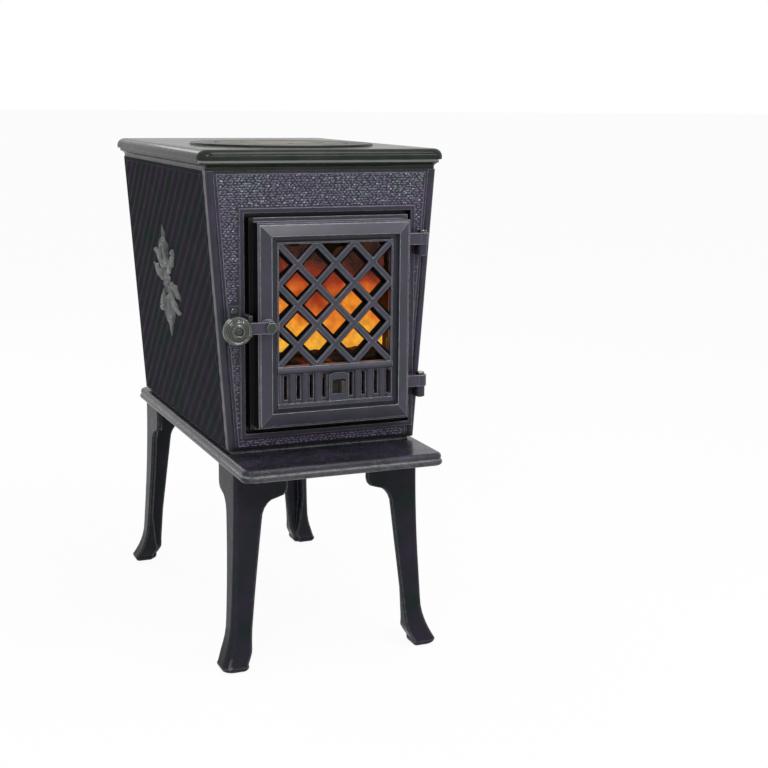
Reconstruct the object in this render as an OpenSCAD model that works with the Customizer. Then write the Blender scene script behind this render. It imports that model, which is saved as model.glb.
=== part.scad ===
// A small cast-iron box stove on four curved legs.
// Millimetres, +Z up. The origin is on the floor, under the centre of the stove's outline.
// The front faces -Y, and the door hinges on its +X side.

/* [Body] */
// Depth of the body, from the face of the front plate to the back of the rear plate
body_depth = 430; // [380:5:520]
// Height of the front, side and rear plates
body_height = 344.5; // [336:0.5:400]
// Half width of the body at its foot
body_half_foot = 124.5; // [120:0.5:127]
// Half width of the body at its top
body_half_top = 150; // [144:0.5:152]
// Thickness of the cast plates
plate_t = 8; // [6:0.5:9]
// Extra thickness of the front plate round the door mouth
mouth_wall = 5; // [4:0.5:6]
// Radius of the round bead on each front corner
corner_bead_r = 5; // [3.5:0.5:5.5]
// Height of the textured pad on the front plate
pad_rise = 1.5; // [1:0.25:2]
// Width of the plain margin beside that pad
pad_margin = 13; // [11:0.5:15]

/* [Side ribs] */
// Distance from one slanting side rib to the next
rib_pitch = 19; // [14:1:26]
// Height of the side ribs
rib_rise = 1.6; // [0.8:0.2:2.4]
// Angle of the side ribs to the floor, rising to the front
rib_angle = 40; // [30:1:55]

/* [Base] */
// Thickness of the base plate
base_t = 16; // [14:0.5:20]
// How far the base plate reaches past the body at each side
base_lip = 8; // [5:0.5:12]
// How far the base reaches out in front of the body, to catch ash
ledge_depth = 86; // [60:1:100]
// How far the base reaches out behind the body
base_back = 23; // [20:1:30]
// Corner radius of the base plate
base_corner_r = 14; // [11:1:24]
// Height of the plinth under the body
plinth_h = 4.5; // [3:0.5:7]
// How far the plinth stands in from the body's outline
plinth_inset = 5; // [4:0.5:6]

/* [Top] */
// Thickness of the top plate
top_t = 25.5; // [22:0.5:28]
// How far the top plate reaches past the body at each side
top_lip = 10; // [8:0.5:16]
// How far the top plate reaches past the body in front and behind
top_overhang = 12; // [10:0.5:16]
// Corner radius of the top plate
top_corner_r = 16; // [13:1:26]
// Radius of the round lid on the top
lid_r = 121; // [112:1:126]
// Thickness of the lid's rim
lid_t = 2.5; // [2:0.5:6]
// Radius of the pot hole under the lid
pot_hole_r = 104; // [90:1:106]
// Distance from the front plate's face to the middle of the lid
lid_back = 160; // [150:1:200]

/* [Legs] */
// Height of the legs
leg_h = 257; // [200:1:280]
// Distance from the base plate's side edge to the outer face of a leg
leg_inset = 9; // [6:0.5:11]
// How far the front legs stand forward of the front plate's face
leg_forward = 18; // [5:1:22]
// How far the toes reach out past the top of the leg
toe_reach = 23; // [18:0.5:30]
// Wall thickness of the leg's angle section
leg_wall = 8; // [6:0.5:9]
// Width of each web at the top of the leg's shank
shank_w = 35.5; // [30:0.5:38]
// Width of each web where it spreads under the base
ear_w = 70; // [58:1:80]

/* [Door] */
// Width of the door frame
door_w = 199; // [190:1:201]
// Height of the door frame
door_h = 252; // [244:1:254]
// Middle of the door, to the right of the stove's middle
door_x = 6; // [4:0.5:8]
// Height of the door's foot above the foot of the front plate
door_rise = 31.5; // [29:0.5:34]
// Width of the frame's bevelled band at the sides and top
band_w = 16; // [14:0.5:18]
// Width of that band at the foot of the door
band_foot_w = 19; // [17:0.5:21]
// Width of the hinge flange round the back of the frame
flange_w = 5; // [4:0.5:5.5]
// Height of the raised rim round the sunk door channel
rim_rise = 4; // [3:0.5:5]
// Width of that rim
rim_w = 5.5; // [4:0.5:6]
// Gap between the door flange and the rim
channel_gap = 5.5; // [4.5:0.5:6]
// Radius of the door's rope seal
rope_r = 4; // [3.5:0.1:4.2]

/* [Grille] */
// Openings across the lattice window
lattice_cols = 3; // [2:1:4]
// Openings up the lattice window
lattice_rows = 3; // [2:1:4]
// Width of a lattice bar
bar_w = 8.5; // [6:0.5:10]
// Width of an air slot
slot_w = 5; // [4:0.5:6]
// Height of the air slots
slot_h = 30.5; // [26:0.5:33]
// Distance from one air slot to the next
slot_pitch = 16.8; // [16:0.1:17.2]
// Thickness of the door glass
glass_t = 4; // [3:0.5:5]

/* [Hinge and latch] */
// Hinge axis, to the right of the door frame's edge
hinge_out = 21; // [19:0.5:22]
// Hinge axis, in front of the front plate's face
hinge_forward = 16; // [15:0.5:18]
// Radius of the hinge pins
hinge_pin_r = 3.5; // [3:0.1:3.8]
// Heights of the two hinges above the door's foot
hinge_heights = [38, 220];
// Length of the latch lever from its pivot to the knob
lever_l = 44.5; // [42:0.5:48]
// Radius of the latch knob
knob_r = 18; // [14:0.5:20]
// Radius of the latch pivot bolt
pivot_r = 3.5; // [3:0.1:3.8]

/* [Flue] */
// Bore radius of the flue collar
flue_r = 60.5; // [50:0.5:62]
// Wall of the flue collar
flue_wall = 6; // [5:0.5:7]
// Distance from the top of the body down to the flue's middle
flue_down = 82; // [81:0.5:90]
// Length of the flue collar behind the rear plate
flue_l = 34; // [25:1:45]

/* [Hidden] */
$fn = 48;

// Clearances and small shared sizes
seat_gap = 0.3;
slide_gap = 0.2;
pin_play = 0.03;
hole_play = 0.2;
cut = 1;
screw_r = 2;

// Heights, from the floor up
base_z = leg_h;
ledge_z = base_z + base_t;
body_z = ledge_z + plinth_h;
top_z = body_z + body_height;
lid_z = top_z + top_t;

// Depths. "Behind" values are measured back from the front plate's face.
leg_back = base_back - 12;
front_y = (ledge_depth - body_depth - max(leg_back + toe_reach, flue_l)) / 2;
wall_behind = plate_t + mouth_wall;
inner_rear = body_depth - plate_t;

// Slope of the side plates
side_slope = atan((body_half_top - body_half_foot) / body_height);
side_len = body_height / cos(side_slope);
function half_width(z) =
  body_half_foot + (z - body_z) * (body_half_top - body_half_foot) / body_height;
function inner_half(z) = half_width(z) - plate_t / cos(side_slope);

// Legs
base_half = body_half_foot + base_lip;
top_half = body_half_top + top_lip;
leg_x = base_half - leg_inset;
leg_front = -leg_forward;
leg_rear = body_depth + leg_back;
rod_in_x = 18;
rod_in_front = leg_forward + 18;
rod_in_rear = 26;
rod_r = 4;
rod_x = leg_x - rod_in_x;
rod_front = leg_front + rod_in_front;
rod_rear = leg_rear - rod_in_rear;
lug_t = 8;
nut_t = 6;

// Door and mouth
door_z = body_z + door_rise;
door_top = door_z + door_h;
door_left = door_x - door_w / 2;
door_right = door_x + door_w / 2;
open_half = door_w / 2 - band_w;
open_z = door_z + band_foot_w;
open_top = door_top - band_w;
rabbet = 8;
channel_half = door_w / 2 + flange_w + channel_gap;
channel_z = door_z - flange_w - channel_gap;
channel_top = door_top + flange_w + channel_gap;
mouth_half = door_w / 2 - 9.5;
mouth_z = door_z + 9;
mouth_top = door_top - 9;
frame_edge = -25.5;
bevel_foot = -27.5;
bevel_crest = -32;
lip_back = -24;
flange_front = -5;
flange_back = 2;
edge_step = 2.5;
rope_in = 7;
rope_y = plate_t - seat_gap - rope_r;
groove_half = rope_r + 0.3;
groove_floor = rope_y - rope_r - seat_gap;
rope_bend = 8;

// Hinges
hinge_x = door_right + hinge_out;
hinge_y = -hinge_forward;
lug_r = 8;
lug_h = 14.5;
knuckle_r = 6.2;
knuckle_h = 13.5;
pin_head_r = 5.5;
pin_head_h = 3;

// Grille panel
panel_back = -20;
panel_front = -24;
field_front = -28;
panel_play = 0.3;
border_w = 7.5;
field_half = open_half - border_w;
field_z = open_z + border_w;
field_top = open_top - border_w;
window_half = field_half - 2;
window_top = field_top - 2;
window_z = window_top - 151;
col_w = 2 * window_half / lattice_cols;
row_h = (window_top - window_z) / lattice_rows;
vent_x = door_x + 4;
vent_z = window_z - 42;
slot_firsts = 18;
tab_hole = 18;
tab_hole_z = vent_z + 5;
pad_w = 26;
pad_h = 32;
pad_arch_r = 28;
lattice_set = 0.4;

// Glass and its fixings
glass_half = open_half - 3.5;
glass_z = window_z - 5.5;
glass_top = window_top + 6.5;
seal_t = 2;
seal_w = 5.5;
glass_front = panel_back + seal_t;
glass_back = glass_front + glass_t;
clip_t = 2.5;
clip_w = 16;
clip_h = 14;
clip_post_r = 4.5;
clip_x = open_half + 1.7;
clip_rows = [25, 138];
clip_screw_r = 2;
grille_screw_x = open_half + 3.75;
grille_screw_rows = [open_z - 3.5, open_top + 3.5];

// Air slide
slide_t = 2.5;
slide_front = panel_back + slide_gap;
slide_back = slide_front + slide_t;
slide_half = 79;
slide_z = vent_z - 4.5;
slide_top = vent_z + slot_h + 2;
tab_w = 4;
tab_h = 14;
tab_front = -34;
tab_off = 4;
guide_x = [vent_x - slide_half - slot_pitch / 2, vent_x + slide_half];
guide_y = panel_back + 3;
guide_t = 2.7;
retainer_screw_xs = [vent_x - 60, vent_x, vent_x + 60];
retainer_screw_z = slide_z - 5;

// Latch
pivot_x = door_left + 11;
latch_z = door_z + 127.5;
boss_front = -34;
boss_r = 9;
lever_front = -40.3;
lever_back = boss_front - seat_gap;
knob_x = pivot_x - lever_l;
knob_front = -58;
tongue_w = 12;
tongue_h = 13;
tongue_gap = 6;
keeper_face = -pad_rise;
keeper_t = 3;
keeper_left = door_left - 30.5;
keeper_w = 13.5;
keeper_z = latch_z - 27.5;
keeper_h = 51;
keeper_rows = [keeper_z + 6.5, keeper_z + keeper_h - 6.5];
keeper_hole_l = 6;
keeper_head_h = 1.2;

// Flue
flue_z = top_z - flue_down;
flue_flange_r = flue_r + 19.5;
flue_screw_ring = flue_r + 12.5;

// Fire chamber
bed_t = 8;
burn_t = 12;
bed_top = body_z + bed_t;
baffle_t = 8;
baffle_low = [inner_rear - 16, top_z - 156.5];
baffle_high = [136, top_z - 62];
baffle_tilt = atan((baffle_high[1] - baffle_low[1]) / (baffle_low[0] - baffle_high[0]));
burn_front = 43;
burn_rear = inner_rear - 14;
rear_burn_top = baffle_low[1] + 20;
rear_flutes = [20, 150];
retainer_t = 10;
retainer_h = 48;

enamel = [0.13, 0.14, 0.17];
raw_iron = [0.22, 0.2, 0.19];
steel = [0.55, 0.55, 0.55];
rope_colour = [0.75, 0.73, 0.68];

// Moves a drawing made behind the front plate's face into place
module behind_face() {
  translate([0, front_y, 0]) children();
}

// A block given by its low and high limits on each axis
module block(x, y, z) {
  translate([x[0], y[0], z[0]]) cube([x[1] - x[0], y[1] - y[0], z[1] - z[0]]);
}

// Extrudes a drawing of the XZ plane along Y
module along_y(y0, y1) {
  translate([0, y1, 0]) rotate([90, 0, 0]) linear_extrude(y1 - y0) children();
}

// Extrudes a drawing of the YZ plane along X
module along_x(x0, x1) {
  translate([x0, 0, 0]) rotate([90, 0, 90]) linear_extrude(x1 - x0) children();
}

// A round bar along Y
module bar_y(x, z, r, y0, y1) {
  translate([x, y1, z]) rotate([90, 0, 0]) cylinder(r = r, h = y1 - y0);
}

// A hexagon head or nut along Y
module hex_y(x, z, across, y0, y1) {
  translate([x, y1, z]) rotate([90, 0, 0]) cylinder(r = across / sqrt(3), h = y1 - y0, $fn = 6);
}

// Points of a rectangle with round corners
function round_rect(x0, x1, z0, z1, r, n = 8) = [
  for (c = [[x1 - r, z1 - r, 0], [x0 + r, z1 - r, 90], [x0 + r, z0 + r, 180], [x1 - r, z0 + r, 270]])
    for (i = [0 : n]) let (a = c[2] + 90 * i / n) [c[0] + r * cos(a), c[1] + r * sin(a)]
];

// A flat plate with a moulded edge. The child is the edge drawing: X runs out from 0 to r.
module moulded_slab(x, y, z, r, h) {
  block([x[0] + r, x[1] - r], [y[0] + r, y[1] - r], [z, z + h]);
  for (side = [0, 1]) {
    translate([side * (x[0] + x[1]), side * (y[0] + y[1]), z]) rotate([0, 0, 180 * side]) {
      translate([x[1] - r, y[1] - r, 0]) rotate_extrude(angle = 90) children();
      translate([x[0] + r, y[1] - r, 0]) rotate([0, 0, 90]) rotate_extrude(angle = 90) children();
      translate([x[1] - r, 0, 0]) along_y(y[0] + r, y[1] - r) children();
      translate([0, y[1] - r, 0]) along_x(x[0] + r, x[1] - r) children();
    }
  }
}

// The trapezium of the front and rear plates, drawn in from its slanting sides
module end_outline(inset, z0, z1) {
  polygon([
    [-half_width(z0) + inset, z0], [half_width(z0) - inset, z0],
    [half_width(z1) - inset, z1], [-half_width(z1) + inset, z1]
  ]);
}

// ---- Base and legs ----

module base_edge() {
  bead = base_t / 4;
  shoulder = base_t * 0.34;
  shoulder_x = base_corner_r - 1.5 - shoulder;
  intersection() {
    square([base_corner_r + cut, base_t]);
    union() {
      square([base_corner_r - bead, base_t - shoulder]);
      square([shoulder_x, base_t]);
      translate([base_corner_r - bead, bead]) circle(bead);
      translate([shoulder_x, base_t - shoulder]) circle(shoulder);
    }
  }
}

module base_plate() color(enamel) behind_face() {
  rear = body_depth + base_back;
  pocket = base_z + base_t / 2;
  pad = ear_w + 2;
  difference() {
    union() {
      moulded_slab([-base_half, base_half], [-ledge_depth, rear], base_z, base_corner_r, base_t)
        base_edge();
      along_y(plinth_inset, body_depth - plinth_inset)
        end_outline(plinth_inset, ledge_z - cut, body_z);
    }
    block([-leg_x + pad, leg_x - pad], [-ledge_depth + 14, rear - 14], [base_z - cut, pocket]);
    block([-leg_x + leg_wall, leg_x - leg_wall], [leg_front + pad, leg_rear - pad], [base_z - cut, pocket]);
    block([-leg_x + leg_wall, leg_x - leg_wall], [-ledge_depth + 14, leg_front - 6], [base_z - cut, pocket]);
    for (x = [-rod_x, rod_x], y = [rod_front, rod_rear])
      translate([x, y, base_z - cut]) cylinder(r = rod_r + hole_play, h = base_t + plinth_h + 2 * cut);
  }
}

// How far the leg's outer corner stands out at height z: a slow lean, then a quick toe
leg_lean = 12;
toe_r = 7;
toe_span = 55;
ear_foot = leg_h - 68;
ear_nub = ear_foot + 29;
nub_r = 11;
foot_in = 17.5;
foot_tuck = 7;
function lean_at(z) = leg_lean * pow(1 - z / leg_h, 2);
function toe_at(z) = pow(max(0, (toe_span - z) / (toe_span - toe_r)), 1.9);
function sole_round(z) = z < toe_r ? toe_r - sqrt(toe_r * toe_r - pow(toe_r - z, 2)) : 0;
function leg_out(z) =
  let (h = max(z, toe_r))
  lean_at(h) + (toe_reach - lean_at(toe_r)) * toe_at(h) - sole_round(z);

// How far each web reaches in from the outer face at height z
function web_in(z) =
  z < 25 ? foot_in - foot_tuck * pow(min(1, (25 - z) / 15), 1.3) - sole_round(z)
  : z < ear_foot ? foot_in + (shank_w - foot_in) * pow((z - 25) / (ear_foot - 25), 1.08)
  : z < ear_nub ? shank_w + (ear_w - shank_w - nub_r) * (1 - sqrt(1 - pow((z - ear_foot) / 29, 2)))
  : ear_w - nub_r + nub_r * sqrt(1 - pow(1 - min(1, (z - ear_nub) / 12), 2));

// The angle section is thin above and almost solid in the foot
function web_t(z) =
  let (solid = 0.82 * (leg_out(z) + web_in(z)), t = min(1, max(0, (z - 24) / toe_span)))
  solid + (leg_wall - solid) * pow(t, 0.6);
function corner_r(z) = 6 + 5 * max(0, (90 - z) / 90);

leg_levels = concat(
  [0, 1, 2.5, 4.5, 7, 10, 14, 18, 22, 26, 32, 40, 50, 62, 78],
  [for (k = [1 : 4]) 78 + (ear_foot - 78) * k / 5],
  [for (up = [0, 9, 16, 22, 26, 29, 31, 35, 41, 68]) ear_foot + up]
);
leg_chamfer = 2;

// One level of the leg, clockwise from above, from the inner corner of the angle
function leg_ring(z) =
  let (o = -leg_out(z), e = web_in(z), t = o + web_t(z), r = corner_r(z), c = leg_chamfer)
  concat(
    [[t, t, z], [e - c, t, z], [e, t - c, z], [e, o + c, z], [e - c, o, z], [o + r, o, z]],
    [for (a = [15 : 15 : 75]) [o + r - r * sin(a), o + r - r * cos(a), z]],
    [[o, o + r, z], [o, e - c, z], [o + c, e, z], [t - c, e, z], [t, e - c, z]]
  );

module leg_shell() {
  points = [for (z = leg_levels) each leg_ring(z)];
  n = len(leg_ring(0));
  last = (len(leg_levels) - 1) * n;
  sides = [
    for (k = [0 : len(leg_levels) - 2], i = [0 : n - 1])
      let (a = k * n, j = (i + 1) % n)
      each [[a + i, a + j, a + n + j], [a + i, a + n + j, a + n + i]]
  ];
  foot = [for (i = [1 : n - 2]) [0, i + 1, i]];
  head = [for (i = [1 : n - 2]) [last, last + i, last + i + 1]];
  polyhedron(points = points, faces = concat(sides, foot, head));
}

// A leg whose outer corner stands at the local origin, with the lug that its tie rod clamps
module leg(rod_in_y) {
  difference() {
    union() {
      leg_shell();
      block([leg_wall - 1, rod_in_x + 12], [leg_wall - 1, rod_in_y + 12], [leg_h - lug_t, leg_h]);
    }
    translate([rod_in_x, rod_in_y, leg_h - lug_t - cut])
      cylinder(r = rod_r + hole_play, h = lug_t + 2 * cut);
  }
}

module front_left_leg() color(enamel) behind_face() {
  translate([-leg_x, leg_front, 0]) leg(rod_in_front);
}

module front_right_leg() color(enamel) behind_face() {
  translate([leg_x, leg_front, 0]) mirror([1, 0, 0]) leg(rod_in_front);
}

module rear_left_leg() color(enamel) behind_face() {
  translate([-leg_x, leg_rear, 0]) mirror([0, 1, 0]) leg(rod_in_rear);
}

module rear_right_leg() color(enamel) behind_face() {
  translate([leg_x, leg_rear, 0]) mirror([1, 0, 0]) mirror([0, 1, 0]) leg(rod_in_rear);
}

module tie_rods() color(steel) behind_face() {
  for (x = [-rod_x, rod_x], y = [rod_front, rod_rear])
    translate([x, y, base_z - lug_t - nut_t - 2])
      cylinder(r = rod_r, h = lug_t + nut_t + 2 + top_z - base_z + top_t / 2);
}

module tie_rod_nuts() color(steel) behind_face() {
  for (x = [-rod_x, rod_x], y = [rod_front, rod_rear])
    translate([x, y, base_z - lug_t - nut_t]) difference() {
      cylinder(r = 2 * rod_r, h = nut_t, $fn = 6);
      translate([0, 0, -cut]) cylinder(r = rod_r + pin_play, h = nut_t + 2 * cut);
    }
}

// ---- Body plates ----

// Slanting ribs over one side plate, drawn flat: X runs back and Y up the plate
module side_ribs() {
  y0 = wall_behind;
  margin = 5;
  reach = body_depth + body_height;
  steps = 6;
  ribs = ceil(reach / rib_pitch / 2);
  wave = [
    for (k = [-ribs * steps : ribs * steps])
      [k * rib_pitch / steps, rib_rise * (0.5 + 0.5 * cos(360 * k / steps)) + 0.2]
  ];
  intersection() {
    translate([y0 + margin, margin, -0.5])
      cube([inner_rear - y0 - 2 * margin, side_len - 2 * margin, rib_rise + 2]);
    translate([body_depth / 2, body_height / 2, 0]) rotate([0, 0, 180 - rib_angle])
      rotate([90, 0, 90]) translate([0, 0, -reach]) linear_extrude(2 * reach)
        polygon(concat([[-ribs * rib_pitch, -0.4]], wave, [[ribs * rib_pitch, -0.4]]));
  }
}

// The right-hand side plate. The left one is its mirror image.
module side_plate() {
  along_y(wall_behind, inner_rear)
    polygon([
      [inner_half(body_z), body_z], [half_width(body_z), body_z],
      [half_width(top_z), top_z], [inner_half(top_z), top_z]
    ]);
  translate([half_width(body_z), 0, body_z]) rotate([0, side_slope, 0]) rotate([90, 0, 90])
    side_ribs();
}

module right_side_plate() color(enamel) behind_face() side_plate();

module left_side_plate() color(enamel) behind_face() mirror([1, 0, 0]) side_plate();

// Round beads down the two slanting corners of a plate
module corner_beads(y) {
  for (side = [-1, 1])
    intersection() {
      translate([side * (half_width(body_z) - corner_bead_r + 0.5), y, body_z])
        rotate([0, side * side_slope, 0]) translate([0, 0, -20])
          cylinder(r = corner_bead_r, h = side_len + 40);
      block([-body_half_top, body_half_top], [y - 20, y + 20], [body_z, top_z]);
    }
}

module hinge_knuckles() {
  for (z = hinge_heights) {
    block(
      [hinge_x - knuckle_r, hinge_x + knuckle_r], [hinge_y, plate_t],
      [door_z + z - knuckle_h, door_z + z]
    );
    translate([hinge_x, hinge_y, door_z + z - knuckle_h]) cylinder(r = knuckle_r, h = knuckle_h);
  }
}

module front_plate() color(enamel) behind_face() {
  x0 = door_x - channel_half;
  x1 = door_x + channel_half;
  header = 14;
  difference() {
    union() {
      along_y(0, wall_behind) end_outline(0, body_z, top_z);
      along_y(-pad_rise, plate_t / 2) end_outline(pad_margin, body_z + 3, top_z - 4);
      corner_beads(2);
      block([x0 - rim_w, x1 + rim_w], [-rim_rise, plate_t], [channel_z - rim_w, channel_top + rim_w]);
      hinge_knuckles();
    }
    block([x0, x1], [-rim_rise - cut, plate_t], [channel_z, channel_top]);
    block(
      [door_x - mouth_half, door_x + mouth_half], [plate_t - cut, wall_behind + cut],
      [mouth_z, mouth_top]
    );
    along_y(plate_t, wall_behind + cut)
      end_outline(header, channel_top + rim_w + 4, top_z - header);
    for (z = hinge_heights)
      translate([hinge_x, hinge_y, door_z + z - knuckle_h - cut])
        cylinder(r = hinge_pin_r + pin_play, h = knuckle_h + 2 * cut);
    block(
      [keeper_left - seat_gap, keeper_left + keeper_w], [-corner_bead_r, keeper_face],
      [keeper_z - seat_gap, keeper_z + keeper_h + seat_gap]
    );
    for (z = keeper_rows)
      bar_y(keeper_left + keeper_w / 2, z, screw_r + pin_play, -rim_rise, keeper_hole_l);
  }
}

module rear_plate() color(enamel) behind_face() {
  difference() {
    union() {
      along_y(inner_rear, body_depth) end_outline(0, body_z, top_z);
      along_y(inner_rear, body_depth + pad_rise) difference() {
        end_outline(pad_margin, body_z + 6, flue_z - flue_flange_r - 12);
        end_outline(pad_margin + rim_w, body_z + 6 + rim_w, flue_z - flue_flange_r - 12 - rim_w);
      }
      corner_beads(body_depth - 2);
    }
    bar_y(0, flue_z, flue_r, inner_rear - cut, body_depth + cut);
    flue_screw_places() bar_y(0, 0, screw_r + pin_play, inner_rear - cut, body_depth + cut);
  }
}

module flue_screw_places() {
  for (a = [45 : 90 : 315])
    translate([flue_screw_ring * cos(a), 0, flue_z + flue_screw_ring * sin(a)]) children();
}

module flue_collar() color(enamel) behind_face() {
  flange = plate_t;
  difference() {
    union() {
      bar_y(0, flue_z, flue_flange_r, body_depth, body_depth + flange);
      bar_y(0, flue_z, flue_r + flue_wall, body_depth, body_depth + flue_l);
    }
    bar_y(0, flue_z, flue_r, body_depth - cut, body_depth + flue_l + cut);
    flue_screw_places() bar_y(0, 0, screw_r + hole_play, body_depth - cut, body_depth + flange + cut);
  }
}

module flue_collar_screws() color(steel) behind_face() {
  flue_screw_places() {
    bar_y(0, 0, screw_r, inner_rear, body_depth + plate_t + cut);
    hex_y(0, 0, 4 * screw_r, body_depth + plate_t, body_depth + plate_t + 3);
  }
}

// ---- Top ----

module top_edge() {
  nose_r = 0.4 * top_t;
  nose_z = top_t - nose_r;
  nose_foot = nose_z - 3;
  square([top_corner_r - nose_r, top_t]);
  intersection() {
    translate([top_corner_r - nose_r, nose_z]) circle(nose_r);
    translate([0, nose_foot]) square([top_corner_r + cut, top_t]);
  }
  difference() {
    square([top_corner_r - 4, nose_foot + cut / 2]);
    translate([top_corner_r - 2, -1]) circle(9.5);
  }
}

module top_plate() color(enamel) behind_face() {
  inside = plate_t + 2;
  recess = top_z + top_t - 9;
  difference() {
    moulded_slab(
      [-top_half, top_half], [-top_overhang, body_depth + top_overhang], top_z, top_corner_r, top_t
    ) top_edge();
    difference() {
      block(
        [-body_half_top + inside, body_half_top - inside],
        [wall_behind + 2, inner_rear - 2], [top_z - cut, recess]
      );
      for (x = [-rod_x, rod_x], y = [rod_front, rod_rear])
        translate([x, y, top_z]) cylinder(r = 3 * rod_r, h = top_t);
    }
    translate([0, lid_back, top_z - cut]) cylinder(r = pot_hole_r, h = top_t + 2 * cut);
    for (x = [-rod_x, rod_x], y = [rod_front, rod_rear])
      translate([x, y, top_z - cut]) cylinder(r = rod_r + hole_play, h = top_t / 2 + 2 + cut);
  }
}

module cooking_plate() color(enamel) behind_face() translate([0, lid_back, 0]) {
  groove = 1.5;
  lifter = 9;
  difference() {
    union() {
      translate([0, 0, lid_z]) cylinder(r = lid_r - 1.5, h = lid_t);
      translate([0, 0, lid_z]) cylinder(r = lid_r, h = lid_t - 1.5);
      translate([0, 0, lid_z - 8]) cylinder(r = pot_hole_r - 1, h = 8 + lid_t / 2);
    }
    for (r = [0.45, 0.72] * lid_r)
      translate([0, 0, lid_z + lid_t - groove]) difference() {
        cylinder(r = r + 1.2, h = groove + cut);
        translate([0, 0, -cut]) cylinder(r = r - 1.2, h = groove + 3 * cut);
      }
    translate([0, 0, lid_z + lid_t]) difference() {
      block([-4, 4], [-0.3 * lid_r - lifter, -0.3 * lid_r + lifter], [-5, cut]);
      block([-4 - cut, 4 + cut], [-0.3 * lid_r - 1.5, -0.3 * lid_r + 1.5], [-3.5, 2 * cut]);
    }
  }
}

// ---- Fire chamber ----

module fire_bed_plate() color(raw_iron) behind_face() {
  bars = 9;
  pitch = 24;
  difference() {
    block(
      [-inner_half(body_z) + 0.7, inner_half(body_z) - 0.7], [wall_behind + cut, inner_rear - cut],
      [body_z, bed_top]
    );
    for (x = [-rod_x, rod_x], y = [rod_front, rod_rear])
      translate([x, y, body_z - cut]) cylinder(r = rod_r + 1, h = bed_t + 2 * cut);
    for (k = [-bars : bars])
      if (abs(k) <= 5)
        block([-70, 70], [body_depth / 2 + k * pitch, body_depth / 2 + k * pitch + 6], [bed_top - 3, bed_top + cut]);
  }
}

// The underside of the baffle, as a block that removes everything above it
module above_baffle() {
  translate([0, baffle_low[0], baffle_low[1]]) rotate([-baffle_tilt, 0, 0])
    block([-body_half_top, body_half_top], [-body_depth * 1.5, body_depth], [0, body_height]);
}

module burn_plate() {
  lean = plate_t / cos(side_slope) + burn_t / cos(side_slope) + seat_gap;
  difference() {
    intersection() {
      along_y(burn_front, burn_rear)
        polygon([
          [half_width(bed_top) - lean, bed_top], [inner_half(bed_top) - seat_gap, bed_top],
          [inner_half(top_z) - seat_gap, top_z], [half_width(top_z) - lean, top_z]
        ]);
      block([0, body_half_top], [0, body_depth], [bed_top, baffle_high[1]]);
    }
    above_baffle();
  }
}

module right_burn_plate() color(raw_iron) behind_face() burn_plate();

module left_burn_plate() color(raw_iron) behind_face() mirror([1, 0, 0]) burn_plate();

module rear_burn_plate() color(raw_iron) behind_face() {
  half = rod_x - rod_r - 4.5;
  difference() {
    block([-half, half], [burn_rear + 1, inner_rear - seat_gap], [bed_top, rear_burn_top]);
    above_baffle();
    for (k = [-3 : 3])
      block(
        [25 * k - 3, 25 * k + 3], [burn_rear, burn_rear + 3],
        [bed_top + rear_flutes[0], bed_top + rear_flutes[1]]
      );
  }
}

module baffle_plate() color(raw_iron) behind_face() {
  half = inner_half(baffle_low[1]) - 1.5;
  run = (baffle_low[0] - baffle_high[0]) / cos(baffle_tilt);
  translate([0, baffle_low[0], baffle_low[1]]) rotate([-baffle_tilt, 0, 0])
    block([-half, half], [-run, 0], [0, baffle_t]);
}

module log_retainer() color(raw_iron) behind_face() {
  y0 = burn_front - 12;
  half = inner_half(bed_top) - 3;
  difference() {
    block([-half, half], [y0, y0 + retainer_t], [bed_top, bed_top + retainer_h]);
    for (k = [-4 : 4])
      block(
        [22 * k - 5, 22 * k + 5], [y0 - cut, y0 + retainer_t + cut],
        [bed_top + 12, bed_top + retainer_h - 12]
      );
  }
}

// ---- Door ----

// A rectangular bar round the door's middle, drawn in the XZ plane
module door_ring(x_out, z_out, x_in, z_in) {
  difference() {
    translate([door_x - x_out, z_out[0]]) square([2 * x_out, z_out[1] - z_out[0]]);
    translate([door_x - x_in, z_in[0]]) square([2 * x_in, z_in[1] - z_in[0]]);
  }
}

// A cutter's outline for one bevelled side, from the crest at inner to the foot at outer
function bevel_points(inner, outer) =
  let (past = outer + (outer > inner ? 9 : -9))
  [[outer, bevel_foot], [past, bevel_foot], [past, bevel_crest - 9], [inner, bevel_crest - 9], [inner, bevel_crest]];

module frame_bevels() {
  x_foot = door_w / 2 - edge_step;
  for (side = [-1, 1])
    translate([door_x, 0, door_z - cut]) linear_extrude(door_h + 2 * cut)
      polygon(bevel_points(side * open_half, side * x_foot));
  for (end = [[open_top, door_top - edge_step], [open_z, door_z + edge_step]])
    along_x(door_left - cut, door_right + cut)
      polygon([for (p = bevel_points(end[0], end[1])) [p[1], p[0]]]);
}

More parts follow.
